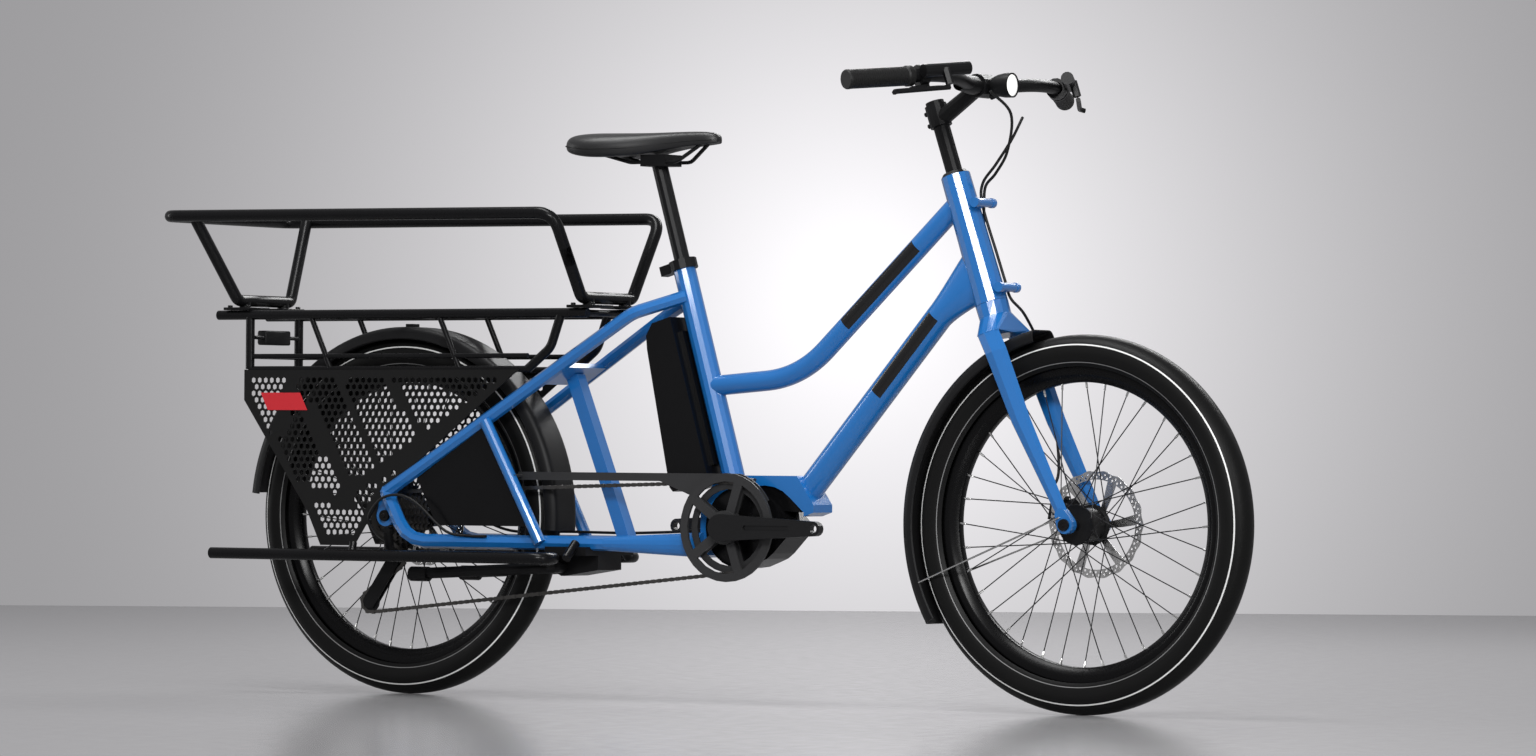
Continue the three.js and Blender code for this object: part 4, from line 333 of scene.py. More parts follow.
MATERIALS = {
    "floor": finish_of("floor_paint", (0.3, 0.297, 0.303), (0.285, 0.282, 0.288), 0.18, grain=4, bump=0.0,
                       spread=0.03, specular=0.25),
    "blue": finish_of("blue_paint", (0.006, 0.145, 0.45), (0.006, 0.13, 0.41), 0.32, grain=30,
                      bump=0.0, spread=0.0, coat=0.8),
    "gloss_black": finish_of("black_paint", (0.006, 0.006, 0.0065), (0.004, 0.004, 0.0045), 0.28, grain=40,
                             bump=0.01, spread=0.03, coat=0.05, specular=0.14),
    "satin_black": finish_of("black_anodised", (0.008, 0.008, 0.0085), (0.005, 0.005, 0.0055), 0.36,
                             bump=0.02, specular=0.15),
    "plastic": finish_of("black_plastic", (0.007, 0.007, 0.0075), (0.004, 0.004, 0.0045), 0.46, grain=80,
                         bump=0.06, specular=0.2),
    "shell": finish_of("black_shell", (0.004, 0.004, 0.0045), (0.003, 0.003, 0.0033), 0.24,
                       bump=0.01, spread=0.04, specular=0.2),
    "sheet_black": finish_of("guard_black", (0.007, 0.007, 0.007), (0.005, 0.005, 0.005), 0.42, grain=80,
                             bump=0.03, specular=0.22),
    "grey_plastic": finish_of("dark_grey_plastic", (0.030, 0.030, 0.031), (0.022, 0.022, 0.023), 0.46,
                              grain=80, bump=0.05, specular=0.35),
    "crank": finish_of("crank_black", (0.006, 0.006, 0.0065), (0.004, 0.004, 0.0045), 0.36,
                       bump=0.01, specular=0.35),
    "tyre": tread_rubber(),
    "rubber": finish_of("soft_rubber", (0.007, 0.007, 0.007), (0.004, 0.004, 0.004), 0.5, grain=90, bump=0.06,
                        specular=0.3),
    "band": finish_of("reflective_band", (0.8, 0.8, 0.79), (0.7, 0.7, 0.69), 0.35, grain=120, bump=0.05),
    "grey_line": finish_of("grey_line", (0.22, 0.22, 0.22), (0.17, 0.17, 0.17), 0.4, grain=120, bump=0.05),
    "rim": finish_of("rim_black", (0.003, 0.003, 0.0033), (0.002, 0.002, 0.0022), 0.26, bump=0.01,
                     specular=0.15),
    "spoke": finish_of("dark_steel", (0.055, 0.055, 0.058), (0.035, 0.035, 0.037), 0.3, metallic=0.9, grain=90,
                       bump=0.02),
    "steel": finish_of("bright_steel", (0.62, 0.62, 0.61), (0.5, 0.5, 0.49), 0.25, metallic=1.0, grain=90,
                       bump=0.02),
    "chain": finish_of("oiled_steel", (0.13, 0.125, 0.12), (0.06, 0.058, 0.055), 0.36, metallic=0.9,
                       grain=120, bump=0.05),
    "disc": brushed_disc(),
    "cover": leather(),
    "lens": lamp_glass(),
    "smoked": finish_of("smoked_lens", (0.012, 0.010, 0.03), (0.008, 0.007, 0.02), 0.1, grain=40, bump=0.02,
                        spread=0.03, coat=0.7),
    "red": finish_of("red_label", (0.62, 0.02, 0.03), (0.55, 0.015, 0.025), 0.4, grain=80, bump=0.03),
    "decal": finish_of("black_film", (0.005, 0.005, 0.0055), (0.004, 0.004, 0.0045), 0.24,
                       bump=0.0, spread=0.02, coat=0.4, specular=0.3),
}


# Shapes

# The most of a side that a bend may take up
BEND_SHARE = 0.49


def smoothing_group():
    """Modifier nodes that shade faces smooth and keep edges sharper than an angle crisp."""
    group = bpy.data.node_groups.new("smooth_by_angle", "GeometryNodeTree")
    group.interface.new_socket("Geometry", in_out="INPUT", socket_type="NodeSocketGeometry")
    limit = group.interface.new_socket("Angle", in_out="INPUT", socket_type="NodeSocketFloat")
    group.interface.new_socket("Geometry", in_out="OUTPUT", socket_type="NodeSocketGeometry")
    entry = add_node(group, "NodeGroupInput").outputs
    angle = add_node(group, "GeometryNodeInputMeshEdgeAngle").outputs["Unsigned Angle"]
    sharp = add_node(group, "ShaderNodeMath", {0: angle, 1: entry["Angle"]}, operation="GREATER_THAN")
    faces = add_node(group, "GeometryNodeSetShadeSmooth", {"Geometry": entry["Geometry"]})
    crisp = {"Geometry": faces.outputs["Geometry"], "Selection": sharp.outputs["Value"], "Shade Smooth": False}
    crisp = add_node(group, "GeometryNodeSetShadeSmooth", crisp, domain="EDGE")
    add_node(group, "NodeGroupOutput", {"Geometry": crisp.outputs["Geometry"]})
    return group, limit.identifier


SMOOTHING, ANGLE_INPUT = smoothing_group()


def soften(obj, degrees):
    modifier = obj.modifiers.new("smooth", "NODES")
    modifier.node_group = SMOOTHING
    modifier[ANGLE_INPUT] = math.radians(degrees)
def add_piece(name, bm, material, body, centre=(0, 0, 0), smooth=35):
    """A mesh piece with its origin at centre, shaded smooth and riding on a body where one is given."""
    bmesh.ops.recalc_face_normals(bm, faces=bm.faces)
    mesh = bpy.data.meshes.new(name)
    bm.to_mesh(mesh)
    bm.free()
    mesh.polygons.foreach_set("use_smooth", [True] * len(mesh.polygons))
    mesh.set_sharp_from_angle(angle=math.radians(smooth))
    mesh.materials.append(MATERIALS[material])
    obj = bpy.data.objects.new(name, mesh)
    obj.location = centre
    bpy.context.scene.collection.objects.link(obj)
    bpy.context.view_layer.update()
    if body:
        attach(obj, body)
    return obj


def polar(radius, turn):
    return radius * math.cos(turn), radius * math.sin(turn)


def turns(count):
    """The angles of evenly spaced places round a circle."""
    return [2 * math.pi * k / count for k in range(count)]


def bent(corners, size, steps=10, arc=True):
    """A path through corners, each bent to about a radius or, without arc, over a length of both its sides."""
    corners = [Vector(c) for c in corners]
    path = [corners[0]]
    for before, here, after in zip(corners, corners[1:], corners[2:]):
        back, on = before - here, after - here
        reach = size * math.tan((math.pi - back.angle(on)) / 2) if arc else size
        reach = min(reach, back.length * BEND_SHARE, on.length * BEND_SHARE)
        start, end = here + back.normalized() * reach, here + on.normalized() * reach
        for i in range(steps + 1):
            t = i / steps
            path.append(start * (1 - t) ** 2 + here * (2 * t * (1 - t)) + end * t ** 2)
    path.append(corners[-1])
    return path


def both_halves(path):
    """A path on one side of the bike, and its mirror image back to the start on the other."""
    return path + [Vector((x, -y, z)) for x, y, z in reversed(path)]


def spline(points, per_span):
    """A smooth curve through points."""
    points = [Vector(p) for p in points]
    padded = [points[0] * 2 - points[1], *points, points[-1] * 2 - points[-2]]
    path = []
    for a, b, c, d in zip(padded, padded[1:], padded[2:], padded[3:]):
        for i in range(per_span):
            t = i / per_span
            path.append(0.5 * (2 * b + (c - a) * t + (2 * a - 5 * b + 4 * c - d) * t ** 2
                               + (3 * b - a - 3 * c + d) * t ** 3))
    path.append(points[-1])
    return path


def ring(bm, place, side, other, radius, angles):
    """Corners round a place, in the plane of two ways."""
    return [bm.verts.new(place + (side * math.cos(a) + other * math.sin(a)) * radius) for a in angles]


def join_rings(bm, rings, closed=True):
    """Faces between each row of corners and the next, all the way round where closed."""
    for one, two in zip(rings, rings[1:]):
        count = len(one)
        for k in range(count if closed else count - 1):
            bm.faces.new((one[k], one[(k + 1) % count], two[(k + 1) % count], two[k]))


def sweep(bm, path, radius, sides=16):
    """A round tube along a path, closed at its ends."""
    path = [Vector(p) for p in path]
    side = (path[1] - path[0]).normalized().orthogonal().normalized()
    rings = []
    for behind, place, ahead in zip(path[:1] + path, path, path[1:] + path[-1:]):
        way = (ahead - behind).normalized()
        side = (side - way * side.dot(way)).normalized()
        rings.append(ring(bm, place, side, way.cross(side), radius, turns(sides)))
    join_rings(bm, rings)
    bm.faces.new(rings[0][::-1])
    bm.faces.new(rings[-1])


def rod(bm, start, end, radius, sides=16):
    sweep(bm, [start, end], radius, sides)


def lathe(bm, profile, steps, centre=(0, 0, 0), axis=(0, 1, 0), loop=False):
    """Turns a profile of (radius, height) pairs round an axis through centre."""
    centre, axis = Vector(centre), Vector(axis).normalized()
    first = axis.orthogonal().normalized()
    second = axis.cross(first)
    rings = []
    for radius, height in profile:
        place = centre + axis * height
        rings.append(ring(bm, place, first, second, radius, turns(steps) if radius else [0]))
    pairs = list(zip(rings, rings[1:]))
    if loop:
        pairs.append((rings[-1], rings[0]))
    for one, two in pairs:
        for k in range(steps):
            corners = [one[k % len(one)], one[(k + 1) % len(one)], two[(k + 1) % len(two)], two[k % len(two)]]
            unique = list(dict.fromkeys(corners))
            if len(unique) > 2:
                bm.faces.new(unique)


def circle(x, z, radius, sides, turn=0.0):
    spots = [polar(radius, a + turn) for a in turns(sides)]
    return [(x + across, z + up) for across, up in spots]


def plate(bm, outline, low, high, holes=()):
    """A flat plate in the XZ plane between two heights along Y, with holes through it."""
    loops = [outline, *holes]
    places = [Vector(p) for loop in loops for p in loop]
    starts = [sum(len(loop) for loop in loops[:i]) for i in range(len(loops))]
    faces = [[start + k for k in range(len(loop))] for start, loop in zip(starts, loops)]
    points, _, triangles, _, _, origins = delaunay_2d_cdt(places, [], faces, 0, 1e-7)
    kept = [t for t, origin in zip(triangles, origins) if 0 in origin and len(origin) == 1]
    layers = [[bm.verts.new((p.x, y, p.y)) for p in points] for y in (low, high)]
    edges = {}
    for triangle in kept:
        bm.faces.new([layers[0][k] for k in triangle])
        bm.faces.new([layers[1][k] for k in reversed(triangle)])
        for a, b in zip(triangle, triangle[1:] + triangle[:1]):
            edges[(a, b)] = edges.get((a, b), 0) + 1
    for a, b in edges:
        if (b, a) not in edges:
            bm.faces.new((layers[0][b], layers[0][a], layers[1][a], layers[1][b]))
    loose = [v for v in bm.verts if not v.link_faces]
    bmesh.ops.delete(bm, geom=loose, context="VERTS")
def box(bm, low, high, bevel):
    """A block between two corners with softened edges."""
    low, high = Vector(low), Vector(high)
    made = bmesh.ops.create_cube(bm, size=1.0)["verts"]
    bmesh.ops.scale(bm, verts=made, vec=high - low)
    bmesh.ops.translate(bm, verts=made, vec=(low + high) / 2)
    edges = list(dict.fromkeys(e for v in made for e in v.link_edges))
    bmesh.ops.bevel(bm, geom=edges, offset=bevel, segments=3, affect="EDGES", profile=0.5)


# Wheels, round their own axles

WHEEL_RADIUS = REAR_AXLE.z
TYRE_HALF = 32 * MM
TYRE_SIDES, RIM_SIDES = 200, 160
# The tyre's bead, by its angle from the crown, and the two lines: the pale one and the grey one near the rim
BEAD_ANGLE = 132
BAND_ANGLES = (60.5, 65)
LINE_ANGLES = (115.5, 118)
LINE_PROUD = 0.25 * MM
RIM = sizes(outer=261.2, inner=236.2, half=17, flat=8, lip=2.2)
SPOKE_COUNT = 36
SPOKE_LEAN = math.radians(62)
SPOKE_RADIUS = 1.0 * MM
NIPPLE = in_metres([(0, 0), (2.1, 0), (1.9, 11), (1.2, 12), (0, 12)])
HUBS = {
    "front": sizes(flange=34, side=27, body=28, end=11, half=50.2, nut=66.3, tip=71.3),
    "rear": sizes(flange=29, side=27, body=21, end=16.7, half=70.7, nut=78.3, tip=85.3),
}
FLANGE_HALF = 1.6 * MM
# The seat of the brake disc on a hub's left side: its least radius, and how far it reaches along the axle
DISC_SEAT = sizes(radius=20, start=30, end=38.6)
RIVET = in_metres([(0, 0.9), (1.7, 0.5), (1.9, -0.4)])
# The brake disc: its side of the wheel, its wavy rim, its ring, and the circles of its holes with their sizes
ROTOR = sizes(side=39.4, thickness=1.53, radius=90, wave=1.3, ring=15, foot=27, bend=50, bore=19.6)
ROTOR_ARMS, ROTOR_WAVES = 6, 18
ROTOR_HOLES = in_metres([(79, 2.1), (84, 1.7)])
LOCKRING = in_metres([(17, 1.55), (25, 1.55), (26, 3), (18, 4.2), (12, 4.2)])


def tyre_spot(angle, proud=0.0):
    """A place on the tyre's section, by the angle from its crown in degrees."""
    turn = math.radians(angle)
    across = TYRE_HALF * (0.985 if abs(angle) > 90 else 1)
    radius = WHEEL_RADIUS - TYRE_HALF + (TYRE_HALF + proud) * math.cos(turn)
    return radius, (across + proud) * math.sin(turn)


def make_tyre(name, axle, body):
    bm = bmesh.new()
    lathe(bm, [tyre_spot(a) for a in range(-BEAD_ANGLE, BEAD_ANGLE + 1, 6)], TYRE_SIDES)
    rubber = add_piece(f"{name}_rubber", bm, "tyre", body, axle)
    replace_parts(rubber, f"{name}_tyre")


def make_line(name, angles, material, axle, body):
    bm = bmesh.new()
    low, high = angles
    for s in (RIGHT, LEFT):
        strip = [tyre_spot(s * a, LINE_PROUD) for a in (low, (low + high) / 2, high)]
        lathe(bm, strip, TYRE_SIDES)
    add_piece(name, bm, material, body, axle)


def make_rim(name, axle, body):
    bm = bmesh.new()
    outer, inner, half, flat, lip = RIM.outer, RIM.inner, RIM.half, RIM.flat, RIM.lip
    left = [
        (inner, flat - lip), (inner + 1.2 * MM, flat), (outer - 13 * MM, half - 2 * MM),
        (outer - 10 * MM, half), (outer + 0.4 * MM, half), (outer + 1.2 * MM, half - lip / 2),
        (outer + 0.4 * MM, half - lip), (outer - 9 * MM, half - lip), (outer - 15 * MM, flat),
    ]
    right = [(radius, -side) for radius, side in reversed(left)]
    lathe(bm, left + right, RIM_SIDES, loop=True)
    rim = add_piece(f"{name}_rim_hoop", bm, "rim", body, axle)
    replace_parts(rim, f"{name}_rim")


def make_spokes(name, axle, body, hub):
    spokes, nipples = bmesh.new(), bmesh.new()
    for i, at_rim in enumerate(turns(SPOKE_COUNT)):
        s = LEFT if i % 2 else RIGHT
        lean = 1 if (i // 2) % 2 else -1
        x, z = polar(hub.flange - 2.5 * MM, at_rim + lean * SPOKE_LEAN)
        start = Vector((x, s * hub.side + lean * 1.4 * MM, z))
        x, z = polar(RIM.inner, at_rim)
        end = Vector((x, s * 4 * MM, z))
        way = (start - end).normalized()
        rod(spokes, start, end, SPOKE_RADIUS, 8)
        lathe(nipples, NIPPLE, 8, end - way * MM, way)
    add_piece(f"{name}_spokes", spokes, "spoke", body, axle)
    add_piece(f"{name}_nipples", nipples, "steel", body, axle)


def make_hub(name, axle, body, hub):
    bm = bmesh.new()
    f, t, flange, end = hub.side, FLANGE_HALF, hub.flange, hub.end
    half, nut, tip = hub.half, hub.nut, hub.tip
    right = [
        (0, -tip), (3.2 * MM, -tip), (4 * MM, -tip + MM), (4 * MM, -nut - 5 * MM), (9.5 * MM, -nut - 5 * MM),
        (10 * MM, -nut - 3 * MM), (10 * MM, -nut), (5.6 * MM, -nut), (5.6 * MM, -half), (end - 2 * MM, -half),
        (end, -half + 2 * MM), (end, -f - 5 * MM), (flange - 8 * MM, -f - t), (flange - MM, -f - t),
        (flange, -f), (flange - MM, -f + t), (hub.body + MM, -f + 2 * t), (hub.body, -f + 5 * MM),
    ]
    left = [(radius, -side) for radius, side in reversed(right)]
    left = [(max(radius, DISC_SEAT.radius) if DISC_SEAT.start < side < DISC_SEAT.end else radius, side)
            for radius, side in left]
    lathe(bm, right + left, 48)
    for s in (RIGHT, LEFT):
        for turn in turns(SPOKE_COUNT // 2):
            x, z = polar(flange - 3 * MM, turn)
            lathe(bm, RIVET, 8, (x, s * (f + t), z), (0, s, 0))
    shell = add_piece(f"{name}_hub_shell", bm, "satin_black", body, axle)
    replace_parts(shell, f"{name}_hub")


def rotor_opening(arm):
    """The opening between two arms of the brake disc."""
    def spot(radius, share):
        return polar(radius, 2 * math.pi * (arm + share) / ROTOR_ARMS)

    arc = [spot(ROTOR.radius - ROTOR.ring, 0.22 + 0.78 * k / 8) for k in range(9)]
    foot = [spot(ROTOR.foot, share) for share in (0.82, 0.5, 0.2)]
    return arc + [spot(ROTOR.bend, 0.93)] + foot + [spot(ROTOR.bend, 0.2)]


def make_rotor(name, axle, body):
    outline = [polar(ROTOR.radius - ROTOR.wave + ROTOR.wave * math.cos(ROTOR_WAVES * turn), turn)
               for turn in turns(12 * ROTOR_WAVES)]
    holes = [rotor_opening(arm) for arm in range(ROTOR_ARMS)]
    for row, (reach, size) in enumerate(ROTOR_HOLES):
        for k in range(48):
            holes.append(circle(*polar(reach, 2 * math.pi * (k + row / 2) / 48), size, 10))
    holes.append(circle(0, 0, ROTOR.bore, 48))
    bm = bmesh.new()
    plate(bm, outline, ROTOR.side, ROTOR.side + ROTOR.thickness, holes)
    disc = add_piece(f"{name}_rotor_disc", bm, "disc", body, axle)
    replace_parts(disc, f"{name}_rotor")
    bm = bmesh.new()
    lathe(bm, [(radius, ROTOR.side + rise) for radius, rise in LOCKRING], 48)
    add_piece(f"{name}_rotor_lockring", bm, "satin_black", body, axle)


def make_wheel(name, axle, body):
    make_tyre(name, axle, body)
    make_line(f"{name}_reflective_band", BAND_ANGLES, "band", axle, body)
    make_line(f"{name}_grey_line", LINE_ANGLES, "grey_line", axle, body)
    make_rim(name, axle, body)
    make_spokes(name, axle, body, HUBS[name])
    make_hub(name, axle, body, HUBS[name])
    make_rotor(name, axle, body)


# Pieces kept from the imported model

# By finish: the angle that their edges stay crisp above, and their names
KEPT = {
    "blue": (50, "head_tube", "seat_tube", "motor_cradle", "rear_triangle_right", "rear_triangle_left",
             "mid_brace", "fork"),
    "satin_black": (40, "headset_cap", "stem", "brake_mount_right", "brake_mount_left", "seatpost",
                    "seat_clamp", "saddle_clamp", "brake_lever_right", "brake_lever_left", "front_caliper",
                    "rear_caliper", "kickstand", "stand_bracket", "derailleur", "derailleur_cage",
                    "shifter_lever"),
    "grey_plastic": (30, "chainring", "chain_guard"),
    "crank": (30, "crank_right", "crank_left"),
    "shell": (30, "battery", "motor", "side_panel_right", "side_panel_left"),
}
# Rounding of their edges, in millimetres
BEVELLED = {
    "crank_right": 1.5, "crank_left": 1.5, "battery": 4, "side_panel_right": 2, "side_panel_left": 2,
    "mid_brace": 2, "motor": 3, "brake_mount_right": 1, "brake_mount_left": 1, "front_caliper": 2,
    "rear_caliper": 2, "chain_guard": 0.6, "seat_clamp": 1, "saddle_clamp": 1, "stem": 1,
}


def finish_kept_nodes():
    for material, (angle, *names) in KEPT.items():
        for name in names:
            node = frame["nodes"][name]
            for slot in node.material_slots:
                slot.material = MATERIALS[material]
            if name in BEVELLED:
                bevel = node.modifiers.new("edge", "BEVEL")
                bevel.width = BEVELLED[name] * MM
                bevel.segments = 3
                bevel.limit_method = "ANGLE"
                bevel.angle_limit = math.radians(angle)
            soften(node, angle)


# Side guards of the rear wheel

GUARD_SIDE = 81 * MM
GUARD_THICKNESS = 2.5 * MM
GUARD_REAR, GUARD_LENGTH = -0.31, 0.6
GUARD_FOOT, GUARD_TOP = 0.262, 0.573
GUARD_OUTLINE = in_metres([
    (-310, 573), (-310, 519), (-168, 323), (-138, 262), (-64, 262), (0, 356), (288, 573),
])
GUARD_BORDER = 12 * MM
HOLE_PITCH = 13.5 * MM
HOLE_RADIUS = 5.5 * MM
ROW_PITCH = HOLE_PITCH * 0.866
# Solid ribs across the guard, each from one place to another with its half width
GUARD_RIBS = in_metres([
    ((-195, 573), (-228, 470), 11), ((-108, 573), (-19, 408), 5), ((-6, 573), (86, 455), 4.5),
    ((-165, 500), (-78, 360), 9), ((302, 573), (-84, 354), 9), ((-190, 362), (-77, 337), 7),
])
# The holes of the left guard lie behind those of the right one as the photograph sees them
GUARD_SHIFT = 2 * GUARD_SIDE * math.tan(math.radians(CAMERA_TURN))
RED_LABEL = in_metres([(-256, 501), (-169, 501), (-185, 532), (-272, 532)])


def from_line(p, a, b):
    """The distance of p from the line between a and b."""
    p, a, b = Vector(p), Vector(a), Vector(b)
    run = b - a
    share = max(0, min(1, (p - a).dot(run) / run.length_squared))
    return (p - a - run * share).length


def inside(p, outline):
    crossings = 0
    for a, b in zip(outline, outline[1:] + outline[:1]):
        if (a[1] > p[1]) != (b[1] > p[1]) and p[0] < a[0] + (p[1] - a[1]) / (b[1] - a[1]) * (b[0] - a[0]):
            crossings += 1
    return crossings % 2 == 1


def guard_holes(s):
    ribs = GUARD_RIBS if s == RIGHT else []
    shift = 0 if s == RIGHT else -GUARD_SHIFT % HOLE_PITCH
    edges = list(zip(GUARD_OUTLINE, GUARD_OUTLINE[1:] + GUARD_OUTLINE[:1]))
    holes = []
    for row in range(int((GUARD_TOP - GUARD_FOOT) / ROW_PITCH) + 1):
        z = GUARD_FOOT + row * ROW_PITCH
        for column in range(int(GUARD_LENGTH / HOLE_PITCH) + 1):
            x = GUARD_REAR + shift + (column + (0.5 if row % 2 else 0)) * HOLE_PITCH
            clear = all(from_line((x, z), a, b) > GUARD_BORDER + HOLE_RADIUS / 2 for a, b in edges)
            off_ribs = all(from_line((x, z), a, b) > half + HOLE_RADIUS * 0.8 for a, b, half in ribs)
            if inside((x, z), GUARD_OUTLINE) and clear and off_ribs:
                holes.append(circle(x, z, HOLE_RADIUS, 6, math.pi / 6))
    return holes


def make_guard(side_name, s):
    bm = bmesh.new()
    near, far = s * GUARD_SIDE, s * (GUARD_SIDE + GUARD_THICKNESS)
    plate(bm, GUARD_OUTLINE, min(near, far), max(near, far), guard_holes(s))
    sheet = add_piece(f"wheel_guard_sheet_{side_name}", bm, "sheet_black", "frame")
    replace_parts(sheet, f"wheel_guard_{side_name}")
    if s == RIGHT:
        bm = bmesh.new()
        plate(bm, RED_LABEL, far - 1.2 * MM, far + 0.1 * MM)
        add_piece("red_label", bm, "red", "frame")


# Mudguards

MUDGUARD = sizes(radius=334, half=38, drop=20, thickness=2, post=9, deck=655)
MUDGUARD_STEPS = 64


def guard_strip(bm, centre, start, end, ahead, upward):
    """A mudguard's curved sheet between two angles, rounded across and turned in at its rims."""
    section = []
    for k in range(-10, 11):
        share = k / 10
        drop = MUDGUARD.drop * max(0, (abs(share) - 0.45) / 0.55) ** 2.2
        section.append((MUDGUARD.radius - drop, MUDGUARD.half * math.sin(share * math.pi / 2 * 0.98)))
    grids = []
    for inset in (0, MUDGUARD.thickness):
        narrowing = 1 - inset / MUDGUARD.half
        rows = []
        for i in range(MUDGUARD_STEPS + 1):
            turn = math.radians(start + (end - start) * i / MUDGUARD_STEPS)
            way = ahead * math.cos(turn) + upward * math.sin(turn)
            rows.append([bm.verts.new(centre + way * (radius - inset) + Vector((0, side * narrowing, 0)))
                         for radius, side in section])
        join_rings(bm, rows, closed=False)
        grids.append(rows)
    outer, inner = grids
    for k in (0, -1):
        join_rings(bm, [[row[k] for row in outer], [row[k] for row in inner]], closed=False)
        join_rings(bm, [outer[k], inner[k]], closed=False)


def make_mudguards():
    bm = bmesh.new()
    guard_strip(bm, REAR_AXLE, -4, 173.5, Vector((1, 0, 0)), Vector((0, 0, 1)))
    post = MUDGUARD.post
    foot = REAR_AXLE.z + MUDGUARD.radius - 2 * MM
    box(bm, (-post, -post, foot), (post, post, MUDGUARD.deck), MM)
    rear = add_piece("rear_mudguard_sheet", bm, "plastic", "frame")
    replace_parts(rear, "rear_mudguard")
    bm = bmesh.new()
    guard_strip(bm, FRONT_AXLE, 86, 192, STEER_AHEAD, STEER_UP)
    front = add_piece("front_mudguard_sheet", bm, "plastic", "steering")
    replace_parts(front, "front_mudguard")
    make_mudguard_stay()


def make_mudguard_stay():
    """The bright wire from the front axle to the lower edge of the mudguard, on both sides."""
    bm = bmesh.new()
    for s in (RIGHT, LEFT):
        foot = FRONT_AXLE + Vector((-8, s * 69, 12)) * MM
        clip = FRONT_AXLE - STEER_AHEAD * (MUDGUARD.radius - 20 * MM) + Vector((0, s * 37, 0)) * MM
        rod(bm, foot, clip, 1.6 * MM, 10)
    add_piece("front_mudguard_stay", bm, "steel", "steering")


# Round tubes: two of the frame, the rack, the passenger rail and the footrests

# The top tube's ends on the head tube and the seat tube, its radius, and its bend
TOP_TUBE = sizes(head=184, seat=252, radius=17.5, bend=200)
TOP_TUBE_BEND = BRACKET + Vector((110.5, 0, 257)) * MM
# The down tube, and the gusset at its end: how long it is, where it ends and how deep it grows
DOWN_TUBE = sizes(head=72, radius=23, gusset=120, end=60.5, deep=52)
DOWN_TUBE_FOOT = BRACKET + Vector((122, 0, 56)) * MM
RACK_HEIGHT = 2 * WHEEL_RADIUS + 40 * MM
RAIL_HEIGHT = RACK_HEIGHT - 74 * MM
BAR_HEIGHT = RACK_HEIGHT - 97 * MM
HOOP_HEIGHT = RACK_HEIGHT + 175 * MM
HOOP_FRONT_HEIGHT = RACK_HEIGHT + 170 * MM
HOOP_FOOT_HEIGHT = RACK_HEIGHT + 26 * MM
DECK_TOP = RACK_HEIGHT + 8.8 * MM
STEP_HEIGHT = BRACKET.z - 57 * MM
RACK = sizes(half=72, rear=-377, post=-306, bar_end=300, front=425, struts=(-172, 108),
             crosses=(-326, -170, 0, 111, 250, 414))
HOOP = sizes(radius=10.5, rear=-418, front=416, leg_rear=-362, foot_rear=-330, half=182, leg_half=167,
             foot_half=78, bend=34)
HOOP_FOOT = sizes(half=28, inner=20, outer=84, thickness=5, bolt=20, bolt_side=74)
HOOP_BOLT = in_metres([(4.5, 0), (4.5, 3), (3.5, 4), (0, 4)])
STEP = sizes(front=385, rear=-330, inner_end=-70, outer=150, inner=96, radius=10, crosses=(-50, 160, 330))
# The stay and the hanger that carry a footrest: where each stands, its radius, and the place of its other end
STEP_STAY = sizes(x=400, radius=8, side=67)
STEP_HANGER = sizes(x=-60, radius=7, side=7.3, height=268)


def make_top_tube():
    bm = bmesh.new()
    path = bent([on_steer(TOP_TUBE.head), TOP_TUBE_BEND, on_seat(TOP_TUBE.seat)], TOP_TUBE.bend, 24)
    sweep(bm, path, TOP_TUBE.radius, 40)
    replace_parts(add_piece("top_tube_round", bm, "blue", "frame"), "top_tube")


def make_down_tube():
    """A round tube that grows into a deep gusset behind the head tube."""
    foot, head, radius = DOWN_TUBE_FOOT, on_steer(DOWN_TUBE.head), DOWN_TUBE.radius
    way = (head - foot).normalized()
    across = Vector((-way.z, 0, way.x))
    start = head - way * DOWN_TUBE.gusset
    rings = [(foot, across, radius, radius)]
    for k in range(13):
        share = k / 12
        upward = across.lerp(STEER_UP, share).normalized()
        place = start.lerp(on_steer(DOWN_TUBE.end), share)
        deep = radius + (DOWN_TUBE.deep - radius) * share ** 1.4
        rings.append((place, upward, deep, radius * (1 - 0.1 * share)))
    bm = bmesh.new()
    loops = []
    for place, upward, deep, wide in rings:
        loops.append([bm.verts.new(place + upward * deep * math.cos(a) + Vector((0, wide * math.sin(a), 0)))
                      for a in turns(40)])
    join_rings(bm, loops)
    bm.faces.new(loops[0])
    bm.faces.new(loops[-1][::-1])
    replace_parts(add_piece("down_tube_round", bm, "blue", "frame"), "down_tube")


def make_rack():
    bm = bmesh.new()
    for s in (RIGHT, LEFT):
        y = s * RACK.half
        rod(bm, (RACK.rear, y, RACK_HEIGHT), (RACK.front, y, RACK_HEIGHT), 8.5 * MM, 24)
        rod(bm, (RACK.post, y, RACK_HEIGHT), (RACK.post, y, BAR_HEIGHT), 8 * MM, 24)
        rod(bm, (RACK.post, y, RAIL_HEIGHT), (RACK.bar_end, y, RAIL_HEIGHT), 4.5 * MM)
        rod(bm, (RACK.post, y, BAR_HEIGHT), (RACK.bar_end, y, BAR_HEIGHT), 5.5 * MM)
        leg = [(370 * MM, y, RACK_HEIGHT), (348 * MM, y, RACK_HEIGHT - 60 * MM), (RACK.bar_end, y, BAR_HEIGHT)]
        sweep(bm, bent(leg, 40 * MM), 8 * MM, 24)
        for x in RACK.struts:
            rod(bm, (x, y, RACK_HEIGHT), (x + 46 * MM, y, BAR_HEIGHT), 5 * MM)
    for x in RACK.crosses:
        rod(bm, (x, -RACK.half, RACK_HEIGHT), (x, RACK.half, RACK_HEIGHT), 6 * MM)
    rod(bm, (RACK.post, -RACK.half, RAIL_HEIGHT), (RACK.post, RACK.half, RAIL_HEIGHT), 4.5 * MM)
    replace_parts(add_piece("rack_tubes", bm, "gloss_black", "frame"), "rack")


